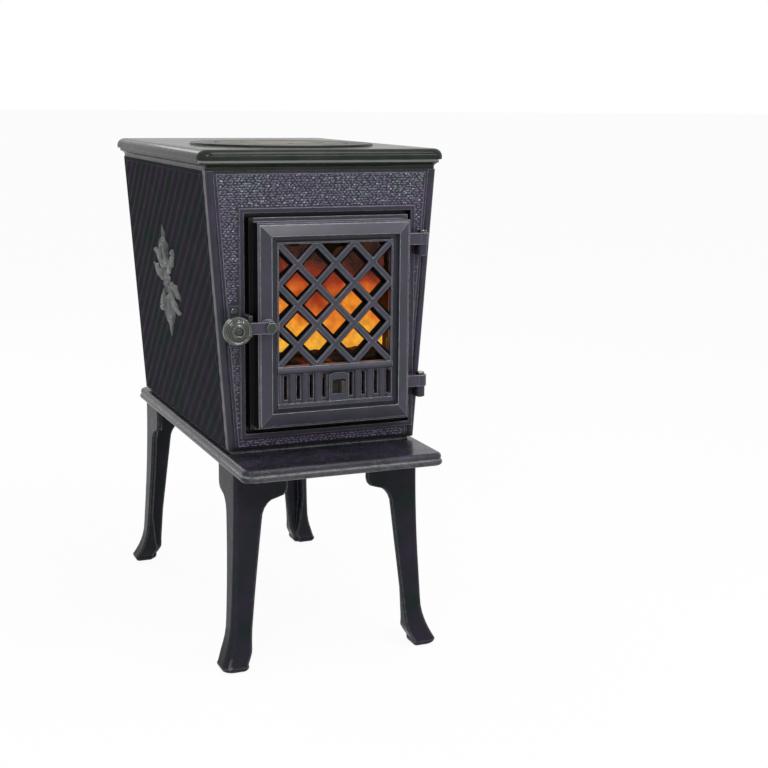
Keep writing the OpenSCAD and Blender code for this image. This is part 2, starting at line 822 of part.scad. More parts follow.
module door_frame() color(enamel) behind_face() {
  half = door_w / 2;
  groove_x = half + flange_w - rope_in;
  groove_z = [door_z - flange_w + rope_in, door_top + flange_w - rope_in];
  difference() {
    union() {
      along_y(frame_edge, flange_back)
        door_ring(half, [door_z, door_top], open_half, [open_z, open_top]);
      difference() {
        along_y(bevel_crest, frame_edge + cut)
          door_ring(
            half - edge_step, [door_z + edge_step, door_top - edge_step],
            open_half, [open_z, open_top]
          );
        frame_bevels();
      }
      along_y(flange_front, flange_back)
        door_ring(
          half + flange_w, [door_z - flange_w, door_top + flange_w], open_half, [open_z, open_top]
        );
      bar_y(pivot_x, latch_z, boss_r, boss_front, bevel_crest + 3.5);
      for (z = hinge_heights) door_lug(door_z + z + seat_gap);
    }
    block(
      [door_x - open_half - rabbet, door_x + open_half + rabbet], [lip_back, flange_back + cut],
      [open_z - rabbet, open_top + rabbet]
    );
    along_y(groove_floor, flange_back + cut) difference() {
      polygon(round_rect(
        door_x - groove_x - groove_half, door_x + groove_x + groove_half,
        groove_z[0] - groove_half, groove_z[1] + groove_half, rope_bend + groove_half
      ));
      polygon(round_rect(
        door_x - groove_x + groove_half, door_x + groove_x - groove_half,
        groove_z[0] + groove_half, groove_z[1] - groove_half, rope_bend - groove_half
      ));
    }
    bar_y(pivot_x, latch_z, pivot_r + pin_play, boss_front - cut, lip_back - cut);
    for (x = [-1, 1], z = grille_screw_rows)
      bar_y(door_x + x * grille_screw_x, z, screw_r + pin_play, lip_back - 4, lip_back + cut);
    for (z = hinge_heights)
      translate([hinge_x, hinge_y, door_z + z - cut])
        cylinder(r = hinge_pin_r + 0.08, h = lug_h + 3 * cut);
  }
}

// The arm that carries the door on a hinge pin
module door_lug(z) {
  block([door_right - 4, hinge_x], [hinge_y - 7, hinge_y + 7], [z, z + lug_h]);
  translate([hinge_x, hinge_y, z]) cylinder(r = lug_r, h = lug_h);
}

module hinge_pins() color(steel) behind_face() {
  for (z = hinge_heights)
    translate([hinge_x, hinge_y, door_z + z - knuckle_h - 1]) {
      cylinder(r = hinge_pin_r, h = knuckle_h + lug_h + 2 * seat_gap + 1 + pin_head_h / 2);
      translate([0, 0, knuckle_h + lug_h + 2 * seat_gap + 1]) cylinder(r = pin_head_r, h = pin_head_h);
    }
}

// Slanting bars of the lattice with a chamfered crest, trimmed to the window
module lattice() {
  half = bar_w / 2;
  depth = panel_back - field_front - 2 * lattice_set;
  chamfer = 1.6;
  lean = atan(row_h / col_w);
  reach = 2 * (window_half + window_top - window_z);
  intersection() {
    block(
      [door_x - window_half - 1, door_x + window_half + 1], [field_front - cut, panel_back],
      [window_z - 1, window_top + 1]
    );
    for (rise = [-1, 1], k = [-lattice_rows : lattice_cols + lattice_rows])
      if (rise > 0 ? k <= lattice_cols : k >= 0)
        translate([door_x - window_half + k * col_w, panel_back - lattice_set, window_z])
          rotate([0, -rise * lean, 0]) along_x(-reach, reach)
            polygon([
              [0, -half], [-depth + chamfer, -half], [-depth, -half + chamfer],
              [-depth, half - chamfer], [-depth + chamfer, half], [0, half]
            ]);
  }
}

// Middles of the air slots, four each side of the tab's hole
function slot_places() = [
  for (side = [-1, 1], k = [0 : 3]) vent_x + side * (slot_firsts + k * slot_pitch)
];

module slot_cuts(shift, y0, y1) {
  for (x = slot_places())
    block([x + shift - slot_w / 2, x + shift + slot_w / 2], [y0, y1], [vent_z, vent_z + slot_h]);
}

module door_grille() color(enamel) behind_face() {
  panel_half = open_half + rabbet - panel_play;
  ledge_r = 4.5;
  ledge_z = window_z - ledge_r - 0.4;
  rib_r = slot_pitch / 2 - slot_w / 2 - 0.5;
  lip_z = slide_top + seat_gap;
  difference() {
    union() {
      difference() {
        union() {
          along_y(panel_front, panel_back)
            door_ring(
              panel_half, [open_z - rabbet + panel_play, open_top + rabbet - panel_play],
              window_half, [window_z, window_top]
            );
          along_y(field_front, panel_back)
            door_ring(field_half, [field_z, field_top], window_half, [window_z, window_top]);
        }
        block(
          [door_x - field_half + 4, door_x + field_half - 4], [field_front - cut, panel_front],
          [field_z + 3, ledge_z + 0.5]
        );
      }
      lattice();
      intersection() {
        along_x(door_x - field_half, door_x + field_half)
          translate([field_front + 1.5, ledge_z]) circle(ledge_r);
        block([-door_w, door_w], [bevel_crest, panel_back], [field_z, window_top]);
      }
      for (k = [0 : 2], side = [-1, 1])
        bar_slat(vent_x + side * (slot_firsts + (k + 0.5) * slot_pitch), rib_r);
      intersection() {
        block(
          [vent_x - pad_w / 2, vent_x + pad_w / 2], [field_front - 1, panel_back],
          [vent_z - 4, vent_z + pad_h]
        );
        bar_y(vent_x, vent_z + pad_h - pad_arch_r, pad_arch_r, bevel_crest, slide_back);
      }
      block(
        [door_x - field_half, door_x + field_half], [field_front - 1.5, panel_back],
        [vent_z - 9, vent_z - 4]
      );
      block(guide_x, [panel_back - cut, guide_y], [lip_z, lip_z + guide_t]);
      block(guide_x, [guide_y, guide_y + 2], [lip_z - 2.5, lip_z + guide_t]);
      for (side = [-1, 1], row = clip_rows)
        bar_y(door_x + side * clip_x, glass_z + row, clip_post_r, panel_back - cut, glass_back);
    }
    slot_cuts(0, bevel_crest - cut, panel_back + cut);
    block(
      [vent_x - tab_hole / 2, vent_x + tab_hole / 2], [bevel_crest - cut, panel_back + cut],
      [tab_hole_z, tab_hole_z + tab_hole]
    );
    for (side = [-1, 1], row = clip_rows)
      bar_y(door_x + side * clip_x, glass_z + row, clip_screw_r + pin_play, panel_back - 2, glass_back);
    for (x = [-1, 1], z = grille_screw_rows)
      bar_y(door_x + x * grille_screw_x, z, screw_r + hole_play, panel_front - cut, panel_back + cut);
    for (x = retainer_screw_xs)
      bar_y(x, retainer_screw_z, screw_r + pin_play, panel_back - 2.5, panel_back + cut);
  }
}

// A half-round slat between two air slots
module bar_slat(x, r) {
  intersection() {
    translate([x, panel_front + 1, vent_z - 4]) cylinder(r = r, h = slot_h + 8);
    block([x - r - 1, x + r + 1], [field_front - 2, panel_back], [vent_z - 4, vent_z + slot_h + 4]);
  }
}

module grille_screws() color(steel) behind_face() {
  for (x = [-1, 1], z = grille_screw_rows) {
    bar_y(door_x + x * grille_screw_x, z, screw_r, lip_back - 3.5, panel_back + cut);
    bar_y(door_x + x * grille_screw_x, z, 3.4, panel_back, panel_back + 2.5);
  }
}

// The rope seal: four straight runs and four bends
module door_gasket() color(rope_colour) behind_face() {
  x_half = door_w / 2 + flange_w - rope_in;
  z_half = door_h / 2 + flange_w - rope_in;
  translate([door_x, rope_y, door_z + door_h / 2]) rotate([90, 0, 0]) {
    for (turn = [0, 1], side = [-1, 1]) {
      run = (turn == 0 ? x_half : z_half) - rope_bend;
      off = turn == 0 ? z_half : x_half;
      rotate([0, 0, 90 * turn]) translate([-run, side * off, 0]) rotate([0, 90, 0])
        cylinder(r = rope_r, h = 2 * run);
    }
    for (corner = [[1, 1, 0], [-1, 1, 90], [-1, -1, 180], [1, -1, 270]])
      translate([corner[0] * (x_half - rope_bend), corner[1] * (z_half - rope_bend), 0])
        rotate([0, 0, corner[2]]) rotate_extrude(angle = 90) translate([rope_bend, 0]) circle(rope_r);
  }
}

module door_glass() color([0.6, 0.65, 0.65, 0.5]) behind_face() {
  block([door_x - glass_half, door_x + glass_half], [glass_front, glass_back], [glass_z, glass_top]);
}

module glass_gasket() color(rope_colour) behind_face() {
  along_y(panel_back, glass_front)
    door_ring(
      glass_half, [glass_z, glass_top], glass_half - seal_w, [glass_z + seal_w, glass_top - seal_w]
    );
}

module glass_clips() color(steel) behind_face() {
  for (side = [-1, 1], row = clip_rows)
    translate([door_x, 0, glass_z + row]) difference() {
      mirror([side > 0 ? 0 : 1, 0, 0])
        block([clip_x - clip_w + 5.5, clip_x + 5.5], [glass_back, glass_back + clip_t], [-clip_h / 2, clip_h / 2]);
      bar_y(side * clip_x, 0, clip_screw_r + hole_play, glass_back - cut, glass_back + clip_t + cut);
    }
}

module glass_clip_screws() color(steel) behind_face() {
  head = glass_back + clip_t;
  for (side = [-1, 1], row = clip_rows) {
    bar_y(door_x + side * clip_x, glass_z + row, clip_screw_r, panel_back - 1.5, head + cut);
    bar_y(door_x + side * clip_x, glass_z + row, 3.8, head, head + 2.2);
  }
}

module air_slide() color(raw_iron) behind_face() {
  tab_x = vent_x + tab_off;
  tab_mid = tab_hole_z + tab_hole / 2;
  difference() {
    block([vent_x - slide_half, vent_x + slide_half], [slide_front, slide_back], [slide_z, slide_top]);
    slot_cuts(0, slide_front - cut, slide_back + cut);
  }
  block([tab_x - tab_w / 2, tab_x + tab_w / 2], [tab_front, slide_back - 1], [tab_mid - tab_h / 2, tab_mid + tab_h / 2]);
}

module slide_retainer() color(steel) behind_face() {
  difference() {
    union() {
      block(guide_x, [panel_back, guide_y], [slide_z - 9, slide_z - seat_gap]);
      block(guide_x, [guide_y, guide_y + 2], [slide_z - 9, slide_z + 3]);
    }
    for (x = retainer_screw_xs)
      bar_y(x, retainer_screw_z, screw_r + hole_play, panel_back - cut, guide_y + 2 + cut);
  }
}

module retainer_screws() color(steel) behind_face() {
  for (x = retainer_screw_xs) {
    bar_y(x, retainer_screw_z, screw_r, panel_back - 2, guide_y + 3);
    bar_y(x, retainer_screw_z, 3.6, guide_y + 2, guide_y + 4);
  }
}

// ---- Latch ----

module latch_keeper() color(enamel) behind_face() {
  front = bevel_foot + 3.5;
  shelf_w = 23.5;
  shelf_z = latch_z - tongue_h / 2 - seat_gap;
  wall = 4.5;
  right = keeper_left + shelf_w;
  back = keeper_face - keeper_t;
  difference() {
    union() {
      block([keeper_left, keeper_left + keeper_w], [back, keeper_face], [keeper_z, keeper_z + keeper_h]);
      block([keeper_left, keeper_left + keeper_w], [front, back + 1], [shelf_z - 6, shelf_z]);
      block([keeper_left, right], [front, back], [shelf_z - 6, shelf_z]);
      block([right - wall, right], [front, back], [shelf_z - 6, latch_z + tongue_h]);
    }
    for (z = keeper_rows)
      bar_y(keeper_left + keeper_w / 2, z, screw_r + hole_play, back - cut, keeper_face + cut);
  }
}

module keeper_screws() color(steel) behind_face() {
  back = keeper_face - keeper_t;
  for (z = keeper_rows) {
    bar_y(keeper_left + keeper_w / 2, z, screw_r, back - cut, keeper_hole_l - cut);
    bar_y(keeper_left + keeper_w / 2, z, 3.8, back - keeper_head_h, back);
  }
}

module latch_lever() color(enamel) behind_face() {
  eye_r = 8;
  difference() {
    union() {
      along_y(lever_front, lever_back) {
        translate([pivot_x, latch_z]) circle(eye_r);
        translate([knob_x, latch_z]) circle(eye_r + 1);
        translate([knob_x, latch_z - eye_r + 1]) square([lever_l, 2 * eye_r - 2]);
      }
      block(
        [knob_x + 2, knob_x + 2 + tongue_w], [lever_back - cut, -tongue_gap],
        [latch_z - tongue_h / 2, latch_z + tongue_h / 2]
      );
    }
    bar_y(pivot_x, latch_z, pivot_r + 0.08, lever_front - cut, lever_back + cut);
    bar_y(knob_x, latch_z, screw_r + pin_play, lever_front - cut, lever_back + cut);
  }
}

module latch_pivot_bolt() color(steel) behind_face() {
  bar_y(pivot_x, latch_z, pivot_r, lever_front - seat_gap - 1, lip_back - cut - seat_gap);
  hex_y(pivot_x, latch_z, 3.4 * pivot_r, lever_front - seat_gap - 4, lever_front - seat_gap);
}

// Turned knob: a neck, a flared disc with a rolled rim, and a raised ring round its screw
module latch_knob() color(enamel) behind_face() {
  l = lever_front - knob_front;
  translate([knob_x, lever_front, latch_z]) rotate([90, 0, 0]) difference() {
    rotate_extrude()
      polygon([
        [0, 0], [knob_r / 2, 0], [knob_r / 2, 3], [knob_r - 2, 6], [knob_r, 8], [knob_r, l - 6],
        [knob_r - 1.2, l - 4.4], [knob_r - 3, l - 4], [knob_r - 4, l - 5.2], [knob_r - 5.2, l - 5.2],
        [knob_r - 6.4, l - 3.2], [8, l - 2], [7.4, l - 0.3], [6.8, l], [5.6, l], [5, l - 0.6],
        [4.6, l - 3.5], [0, l - 3.5]
      ]);
    translate([0, 0, -cut]) cylinder(r = screw_r + hole_play, h = l + cut);
  }
}

module knob_screw() color(steel) behind_face() {
  top = knob_front + 3.5;
  bar_y(knob_x, latch_z, screw_r, top - cut, lever_back);
  bar_y(knob_x, latch_z, 3.8, top - 2, top);
}

base_plate();
front_left_leg();
front_right_leg();
rear_left_leg();
rear_right_leg();
left_side_plate();
right_side_plate();
front_plate();
rear_plate();
top_plate();
cooking_plate();
flue_collar();
flue_collar_screws();
tie_rods();
tie_rod_nuts();
fire_bed_plate();
left_burn_plate();
right_burn_plate();
rear_burn_plate();
baffle_plate();
log_retainer();
hinge_pins();
latch_keeper();
keeper_screws();
door_frame();
door_grille();
grille_screws();
door_gasket();
door_glass();
glass_gasket();
glass_clips();
glass_clip_screws();
air_slide();
slide_retainer();
retainer_screws();
latch_lever();
latch_pivot_bolt();
latch_knob();
knob_screw();
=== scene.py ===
# %% [markdown]
# # A small cast-iron stove, dressed in Blender
# The metal solids of this stove come from a CAD model. This script keeps them where they are, gives every
# one of them a finish, and adds what is easier to make here: the pebbled skin of the front, a cast leaf
# spray on each side, the logs and the flames. Positions are written as on the drawing, in millimetres,
# with depth counted back from the face of the front plate. at() turns them into Blender's metres.

# %% Load the solids
import math
import random

import bpy
from mathutils import Matrix, Vector


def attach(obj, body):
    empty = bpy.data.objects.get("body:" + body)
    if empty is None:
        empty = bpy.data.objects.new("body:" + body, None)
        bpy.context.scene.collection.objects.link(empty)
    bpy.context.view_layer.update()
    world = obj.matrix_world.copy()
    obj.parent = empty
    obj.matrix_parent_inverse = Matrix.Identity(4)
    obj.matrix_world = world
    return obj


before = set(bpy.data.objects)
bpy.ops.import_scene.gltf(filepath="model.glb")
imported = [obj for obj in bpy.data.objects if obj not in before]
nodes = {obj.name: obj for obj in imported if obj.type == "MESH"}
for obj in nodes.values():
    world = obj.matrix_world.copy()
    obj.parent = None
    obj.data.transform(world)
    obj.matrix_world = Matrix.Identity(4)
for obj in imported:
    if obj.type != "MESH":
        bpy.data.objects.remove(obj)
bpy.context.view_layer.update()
MM = 0.001
FACE = -0.189  # the front plate's face, in metres


def at(x, depth, z):
    """A point of the drawing, in metres."""
    return Vector((x * MM, FACE + depth * MM, z * MM))


# %% [markdown]
# ## The camera
# A picture's viewpoint can be found by moving a camera by eye, or worked out from a few corners whose
# places are known on the object. The second way was used here: it gives the place, the three turns and
# the lens. The three axes are built from the turns, so that no helper has to guess what is up.

# %% Camera
YAW, PITCH, ROLL = (math.radians(a) for a in (23.0, 11.5, 0.63))
CAMERA_PLACE = (-613.8, -1642.1, 711.6)
LENS, SENSOR = 66.35, 36

forward = Vector((math.sin(YAW) * math.cos(PITCH), math.cos(YAW) * math.cos(PITCH), -math.sin(PITCH)))
level = Vector((math.cos(YAW), -math.sin(YAW), 0))
upward = level.cross(forward)
right = level * math.cos(ROLL) + upward * math.sin(ROLL)
top = -level * math.sin(ROLL) + upward * math.cos(ROLL)

camera = bpy.data.objects.new("camera", bpy.data.cameras.new("camera"))
bpy.context.scene.collection.objects.link(camera)
turn = Matrix((right, top, -forward)).transposed().to_4x4()
camera.matrix_world = Matrix.Translation(at(*CAMERA_PLACE)) @ turn
camera.data.sensor_width = SENSOR
camera.data.lens = LENS
bpy.context.scene.camera = camera
print("camera at", [round(v, 3) for v in camera.matrix_world.translation])

# %% [markdown]
# ## The white room
# A product picture has a plain white ground. More light on the object would make it white too, and wash
# out the dark colours. Instead the world and the floor are white only to the rays that see them: those
# from the camera, and those that a mirror or a glass sends on. As a light, the world is half as strong.

# %% Which rays see the ground
scene = bpy.context.scene
scene.view_settings.view_transform = "Standard"


def shader_tree(owner):
    """An empty node tree on a material or world."""
    owner.use_nodes = True
    owner.node_tree.nodes.clear()
    return owner.node_tree


def rays_that_see(tree):
    """1 for camera, mirror and glass rays, which see the white ground, and 0 for the light's rays."""
    path = tree.nodes.new("ShaderNodeLightPath")
    total = path.outputs["Is Camera Ray"]
    for name in ("Is Glossy Ray", "Is Transmission Ray"):
        most = tree.nodes.new("ShaderNodeMath")
        most.operation = "MAXIMUM"
        tree.links.new(total, most.inputs[0])
        tree.links.new(path.outputs[name], most.inputs[1])
        total = most.outputs[0]
    return total


# %% World
WORLD_LIGHT = 0.5
world = bpy.data.worlds.new("studio")
scene.world = world
tree = shader_tree(world)
strength = tree.nodes.new("ShaderNodeMapRange")
strength.inputs["To Min"].default_value = WORLD_LIGHT
tree.links.new(rays_that_see(tree), strength.inputs["Value"])
background = tree.nodes.new("ShaderNodeBackground")
background.inputs["Color"].default_value = (1, 1, 1, 1)
tree.links.new(strength.outputs["Result"], background.inputs["Strength"])
tree.links.new(background.outputs[0], tree.nodes.new("ShaderNodeOutputWorld").inputs["Surface"])
print("the world lights with", WORLD_LIGHT, "and is seen as 1")

# %% [markdown]
# ## The floor
# The floor is a wide white sheet just under the feet. Mixing a little matt paint into its own white glow
# keeps a trace of the stove's shadow, which a sheet that only glows would lose.

# %% Floor
FLOOR_HALF, FLOOR_HEIGHT = 60, -0.0005  # metres
FLOOR_PAINT = (0.9, 0.9, 0.9, 1)
FLOOR_GLOW = 0.94  # how much of what is seen is glow, not paint

floor_mesh = bpy.data.meshes.new("floor")
floor_mesh.from_pydata(
    [(sx * FLOOR_HALF, sy * FLOOR_HALF, FLOOR_HEIGHT) for sx, sy in ((-1, -1), (1, -1), (1, 1), (-1, 1))],
    [],
    [(0, 1, 2, 3)],
)
floor = bpy.data.objects.new("floor", floor_mesh)
scene.collection.objects.link(floor)

paint = bpy.data.materials.new("floor_paint")
tree = shader_tree(paint)
matt = tree.nodes.new("ShaderNodeBsdfDiffuse")
matt.inputs["Color"].default_value = FLOOR_PAINT
white = tree.nodes.new("ShaderNodeEmission")
share = tree.nodes.new("ShaderNodeMath")
share.operation = "MULTIPLY"
share.inputs[1].default_value = FLOOR_GLOW
tree.links.new(rays_that_see(tree), share.inputs[0])
both = tree.nodes.new("ShaderNodeMixShader")
tree.links.new(share.outputs[0], both.inputs["Fac"])
tree.links.new(matt.outputs[0], both.inputs[1])
tree.links.new(white.outputs[0], both.inputs[2])
tree.links.new(both.outputs[0], tree.nodes.new("ShaderNodeOutputMaterial").inputs["Surface"])
floor_mesh.materials.append(paint)
print("floor:", 2 * FLOOR_HALF, "m wide")

# %% [markdown]
# ## The lamps
# Dark enamel is seen mostly by what it mirrors, so a black stove needs large, soft lamps that draw its
# edges. Small lamps would leave sharp white spots. A square key lamp stands at the front left, a long
# strip at the front right gives the door's bevels their light bands, and two more lift the top and the
# back.

# %% Lamps
LAMP_TARGET = (0, 200, 380)


def soft_lamp(name, place, watts, wide, tall, colour=(1, 1, 1)):
    """A soft box that looks at the middle of the stove. Its place and size are in metres."""
    lamp = bpy.data.objects.new(name, bpy.data.lights.new(name, "AREA"))
    lamp.data.energy = watts
    lamp.data.shape = "RECTANGLE"
    lamp.data.size = wide
    lamp.data.size_y = tall
    lamp.data.color = colour
    lamp.location = place
    lamp.rotation_mode = "QUATERNION"
    lamp.rotation_quaternion = (at(*LAMP_TARGET) - Vector(place)).to_track_quat("-Z", "Y")
    scene.collection.objects.link(lamp)
    print(f"{name}: {watts} W, {wide} x {tall} m")


soft_lamp("key_lamp", (-1.2, -1.9, 2.1), 20, 0.8, 0.8, (1, 0.98, 0.96))
soft_lamp("strip_lamp", (0.95, -1.9, 1.75), 18, 2.4, 0.16)
soft_lamp("top_lamp", (0.5, -0.8, 2.3), 12, 0.8, 0.8)
soft_lamp("back_lamp", (-0.6, 2.2, 1.8), 14, 1.2, 1.2)

# %% [markdown]
# ## Helpers for node trees
# A material in Blender is a net of small nodes. Joining them one by one takes several lines a node, so
# these helpers place one node each and give back its output. A helper takes either another node's output
# or a plain number, which keeps a recipe below about as short as saying it aloud.

# %% Node helpers
def node_group(name, inputs, outputs):
    """A new shader node group with its input and output nodes."""
    tree = bpy.data.node_groups.new(name, "ShaderNodeTree")
    for socket, kind, value in inputs:
        made = tree.interface.new_socket(socket, in_out="INPUT", socket_type=kind)
        made.default_value = value
    for socket, kind in outputs:
        tree.interface.new_socket(socket, in_out="OUTPUT", socket_type=kind)
    return tree, tree.nodes.new("NodeGroupInput"), tree.nodes.new("NodeGroupOutput")


def feed(tree, socket, value):
    """Links an output to a socket, or sets the socket to a number."""
    if hasattr(value, "is_linked"):
        tree.links.new(value, socket)
    else:
        socket.default_value = value


def calc(tree, operation, a, b):
    """A Math node."""
    node = tree.nodes.new("ShaderNodeMath")
    node.operation = operation
    feed(tree, node.inputs[0], a)
    feed(tree, node.inputs[1], b)
    return node.outputs[0]


def band(tree, value, low, high, to_low=0.0, to_high=1.0):
    """Maps a value from one range to another, and clamps it."""
    node = tree.nodes.new("ShaderNodeMapRange")
    feed(tree, node.inputs["From Min"], low)
    feed(tree, node.inputs["From Max"], high)
    feed(tree, node.inputs["To Min"], to_low)
    feed(tree, node.inputs["To Max"], to_high)
    feed(tree, node.inputs["Value"], value)
    return node.outputs["Result"]


# %% Helpers for colours and noise
def blend_colours(tree, share, first, second):
    """One colour turning into another. Colours may be outputs or three numbers."""
    node = tree.nodes.new("ShaderNodeMix")
    node.data_type = "RGBA"
    feed(tree, node.inputs[0], share)
    for socket, colour in ((node.inputs[6], first), (node.inputs[7], second)):
        feed(tree, socket, colour if hasattr(colour, "is_linked") else (*colour, 1))
    return node.outputs[2]


def noise_of(tree, place, scale, detail=2.0, rough=0.5):
    """Noise over the object's own coordinates."""
    node = tree.nodes.new("ShaderNodeTexNoise")
    feed(tree, node.inputs["Vector"], place)
    feed(tree, node.inputs["Scale"], scale)
    node.inputs["Detail"].default_value = detail
    node.inputs["Roughness"].default_value = rough
    return node.outputs["Fac"]


def own_place(tree):
    """Where a point is on the stove, in metres. Every solid's own origin is the stove's."""
    return tree.nodes.new("ShaderNodeTexCoord").outputs["Object"]


def height_of(tree, place):
    """How high a point is, in metres."""
    parts = tree.nodes.new("ShaderNodeSeparateXYZ")
    feed(tree, parts.inputs[0], place)
    return parts.outputs["Z"]


# %% [markdown]
# ## Cast skin: grain, dents and round edges
# Cast iron is never quite flat: the sand of the mould leaves a fine grain, broad soft dents and round
# edges. Modelling them would take millions of faces, so a bump from noise gives the first two. The Bevel
# node rounds the edges only in the shading, which keeps the solids as they are. Where its normal parts
# from the real one there is an edge. That gives a mask of the edges, which take a painted colour: mostly
# a paler one, which is a painted highlight and partly wear. The effect is one group with named values,
# because every enamel and every metal below uses it.

# %% Cast skin
GRAIN_SCALE, DENT_SCALE = 620, 70
BEVEL_SAMPLES = 4
FLAT_MATCH, EDGE_MATCH = 0.995, 0.86  # how well the two normals agree on a flat and on an edge

tree, given, out = node_group(
    "cast_skin",
    [
        ("Grain", "NodeSocketFloat", 0.3),
        ("Dents", "NodeSocketFloat", 0.5),
        ("Edge Radius", "NodeSocketFloat", 0.001),
    ],
    [("Height", "NodeSocketFloat"), ("Edges", "NodeSocketFloat"), ("Normal", "NodeSocketVector")],
)
place = own_place(tree)
grain = calc(tree, "MULTIPLY", noise_of(tree, place, GRAIN_SCALE, 3), given.outputs["Grain"])
dents = calc(tree, "MULTIPLY", noise_of(tree, place, DENT_SCALE, 2), given.outputs["Dents"])
tree.links.new(calc(tree, "ADD", grain, dents), out.inputs["Height"])

rounded = tree.nodes.new("ShaderNodeBevel")
rounded.samples = BEVEL_SAMPLES
tree.links.new(given.outputs["Edge Radius"], rounded.inputs["Radius"])
flat = tree.nodes.new("ShaderNodeNewGeometry")
agree = tree.nodes.new("ShaderNodeVectorMath")
agree.operation = "DOT_PRODUCT"
tree.links.new(rounded.outputs[0], agree.inputs[0])
tree.links.new(flat.outputs["Normal"], agree.inputs[1])
tree.links.new(band(tree, agree.outputs["Value"], FLAT_MATCH, EDGE_MATCH), out.inputs["Edges"])
tree.links.new(rounded.outputs[0], out.inputs["Normal"])
cast_skin = tree
print("cast_skin:", len(tree.nodes), "nodes")

# %% [markdown]
# ## Fired colour: two tones, speckles and painted edges
# Enamel comes out of the kiln uneven. Its dark body drifts towards a second tone and small specks stay in
# it. Its edges are painted in patches with another colour. A paler one is a painted highlight and partly
# wear, and a darker one is painted shade. A painted picture could hold all this, but noise needs no
# picture and shows no seam. The group mixes the colour and also gives a slow value that takes away gloss
# in patches.

# %% Fired colour
DRIFT_SCALE, SPECKLE_SCALE, WEAR_SCALE, GLOSS_SCALE = 28, 330, 160, 45

tree, given, out = node_group(
    "fired_colour",
    [
        ("Body", "NodeSocketColor", (0.02, 0.02, 0.03, 1)),
        ("Drift", "NodeSocketColor", (0.04, 0.02, 0.05, 1)),
        ("Speckle", "NodeSocketColor", (0.2, 0.2, 0.25, 1)),
        ("Speckle Share", "NodeSocketFloat", 0.2),
        ("Edge Colour", "NodeSocketColor", (0.2, 0.2, 0.24, 1)),
        ("Edges", "NodeSocketFloat", 0.0),
    ],
    [("Colour", "NodeSocketColor"), ("Gloss Loss", "NodeSocketFloat")],
)
place = own_place(tree)
drift = band(tree, noise_of(tree, place, DRIFT_SCALE, 3, 0.6), 0.35, 0.65)
tone = blend_colours(tree, drift, given.outputs["Body"], given.outputs["Drift"])

cells = tree.nodes.new("ShaderNodeTexVoronoi")
cells.inputs["Scale"].default_value = SPECKLE_SCALE
tree.links.new(place, cells.inputs["Vector"])
lone = tree.nodes.new("ShaderNodeSeparateColor")
tree.links.new(cells.outputs["Color"], lone.inputs["Color"])
chosen = calc(tree, "LESS_THAN", lone.outputs[0], given.outputs["Speckle Share"])
spot = calc(tree, "MULTIPLY", band(tree, cells.outputs["Distance"], 0.5, 0.2), chosen)
tone = blend_colours(tree, spot, tone, given.outputs["Speckle"])

# Edges take the Edge Colour in patches. Where it is paler it is a painted highlight and partly wear, and
# where it is darker it is painted shade.
wear = band(tree, noise_of(tree, place, WEAR_SCALE), 0.3, 0.6, 0.45, 1.0)
painted_light = calc(tree, "MULTIPLY", given.outputs["Edges"], wear)
tree.links.new(blend_colours(tree, painted_light, tone, given.outputs["Edge Colour"]), out.inputs["Colour"])
gloss_loss = band(tree, noise_of(tree, place, GLOSS_SCALE, 4, 0.65), 0.3, 0.75)
tree.links.new(gloss_loss, out.inputs["Gloss Loss"])
fired_colour = tree
print("fired_colour:", len(tree.nodes), "nodes")

# %% [markdown]
# ## Masks by place
# Soot and painted shade blacken the channel round the door and not the plate's face. Painted shade darkens
# the plate's foot, and the pebbles turn more violet near the foot. A second material on some faces could
# say so, but the solids' faces are big and their borders are elsewhere. These two groups give the share of
# a finish from where a point lies: inside a box, or low down.

# %% Inside a box
tree, given, out = node_group(
    "inside_box",
    [("Low", "NodeSocketVector", (0, 0, 0)), ("High", "NodeSocketVector", (1, 1, 1))],
    [("Share", "NodeSocketFloat")],
)
place = own_place(tree)
margins = []
for first, second in ((place, given.outputs["Low"]), (given.outputs["High"], place)):
    apart = tree.nodes.new("ShaderNodeVectorMath")
    apart.operation = "SUBTRACT"
    tree.links.new(first, apart.inputs[0])
    tree.links.new(second, apart.inputs[1])
    parts = tree.nodes.new("ShaderNodeSeparateXYZ")
    tree.links.new(apart.outputs[0], parts.inputs[0])
    margins += list(parts.outputs)
least = margins[0]
for margin in margins[1:]:
    least = calc(tree, "MINIMUM", least, margin)
tree.links.new(calc(tree, "GREATER_THAN", least, 0.0), out.inputs["Share"])
inside_box = tree
print("inside_box:", len(tree.nodes), "nodes")

# %% Low down
tree, given, out = node_group(
    "foot_fade",
    [("Low", "NodeSocketFloat", 0.0), ("High", "NodeSocketFloat", 1.0)],
    [("Share", "NodeSocketFloat")],
)
fade = band(tree, height_of(tree, own_place(tree)), given.outputs["Low"], given.outputs["High"], 1.0, 0.0)
tree.links.new(fade, out.inputs["Share"])
foot_fade = tree
print("foot_fade:", len(tree.nodes), "nodes")

# %% [markdown]
# ## From groups to materials
# A node group can't hold the shader itself, because the export reads the shader in the material. Each
# material has one Principled shader, its plain numbers set on the shader's own sockets, and the groups
# feed it with what changes over the surface: colour, roughness and normal.

# %% Material helpers
def use_group(tree, group, **values):
    """Places a group in a tree with this material's own values. A colour has three numbers."""
    node = tree.nodes.new("ShaderNodeGroup")
    node.node_tree = group
    for name, value in values.items():
        socket = node.inputs[name.replace("_", " ")]
        plain_colour = socket.type == "RGBA" and not hasattr(value, "is_linked")
        feed(tree, socket, (*value, 1) if plain_colour else value)
    return node


def new_finish(name, **settings):
    """A material with one Principled shader, whose plain numbers are set on its own sockets."""
    made = bpy.data.materials.new(name)
    tree = shader_tree(made)
    shader = tree.nodes.new("ShaderNodeBsdfPrincipled")
    for socket, value in settings.items():
        shader.inputs[socket.replace("_", " ")].default_value = value
    tree.links.new(shader.outputs[0], tree.nodes.new("ShaderNodeOutputMaterial").inputs["Surface"])
    return made, tree, shader


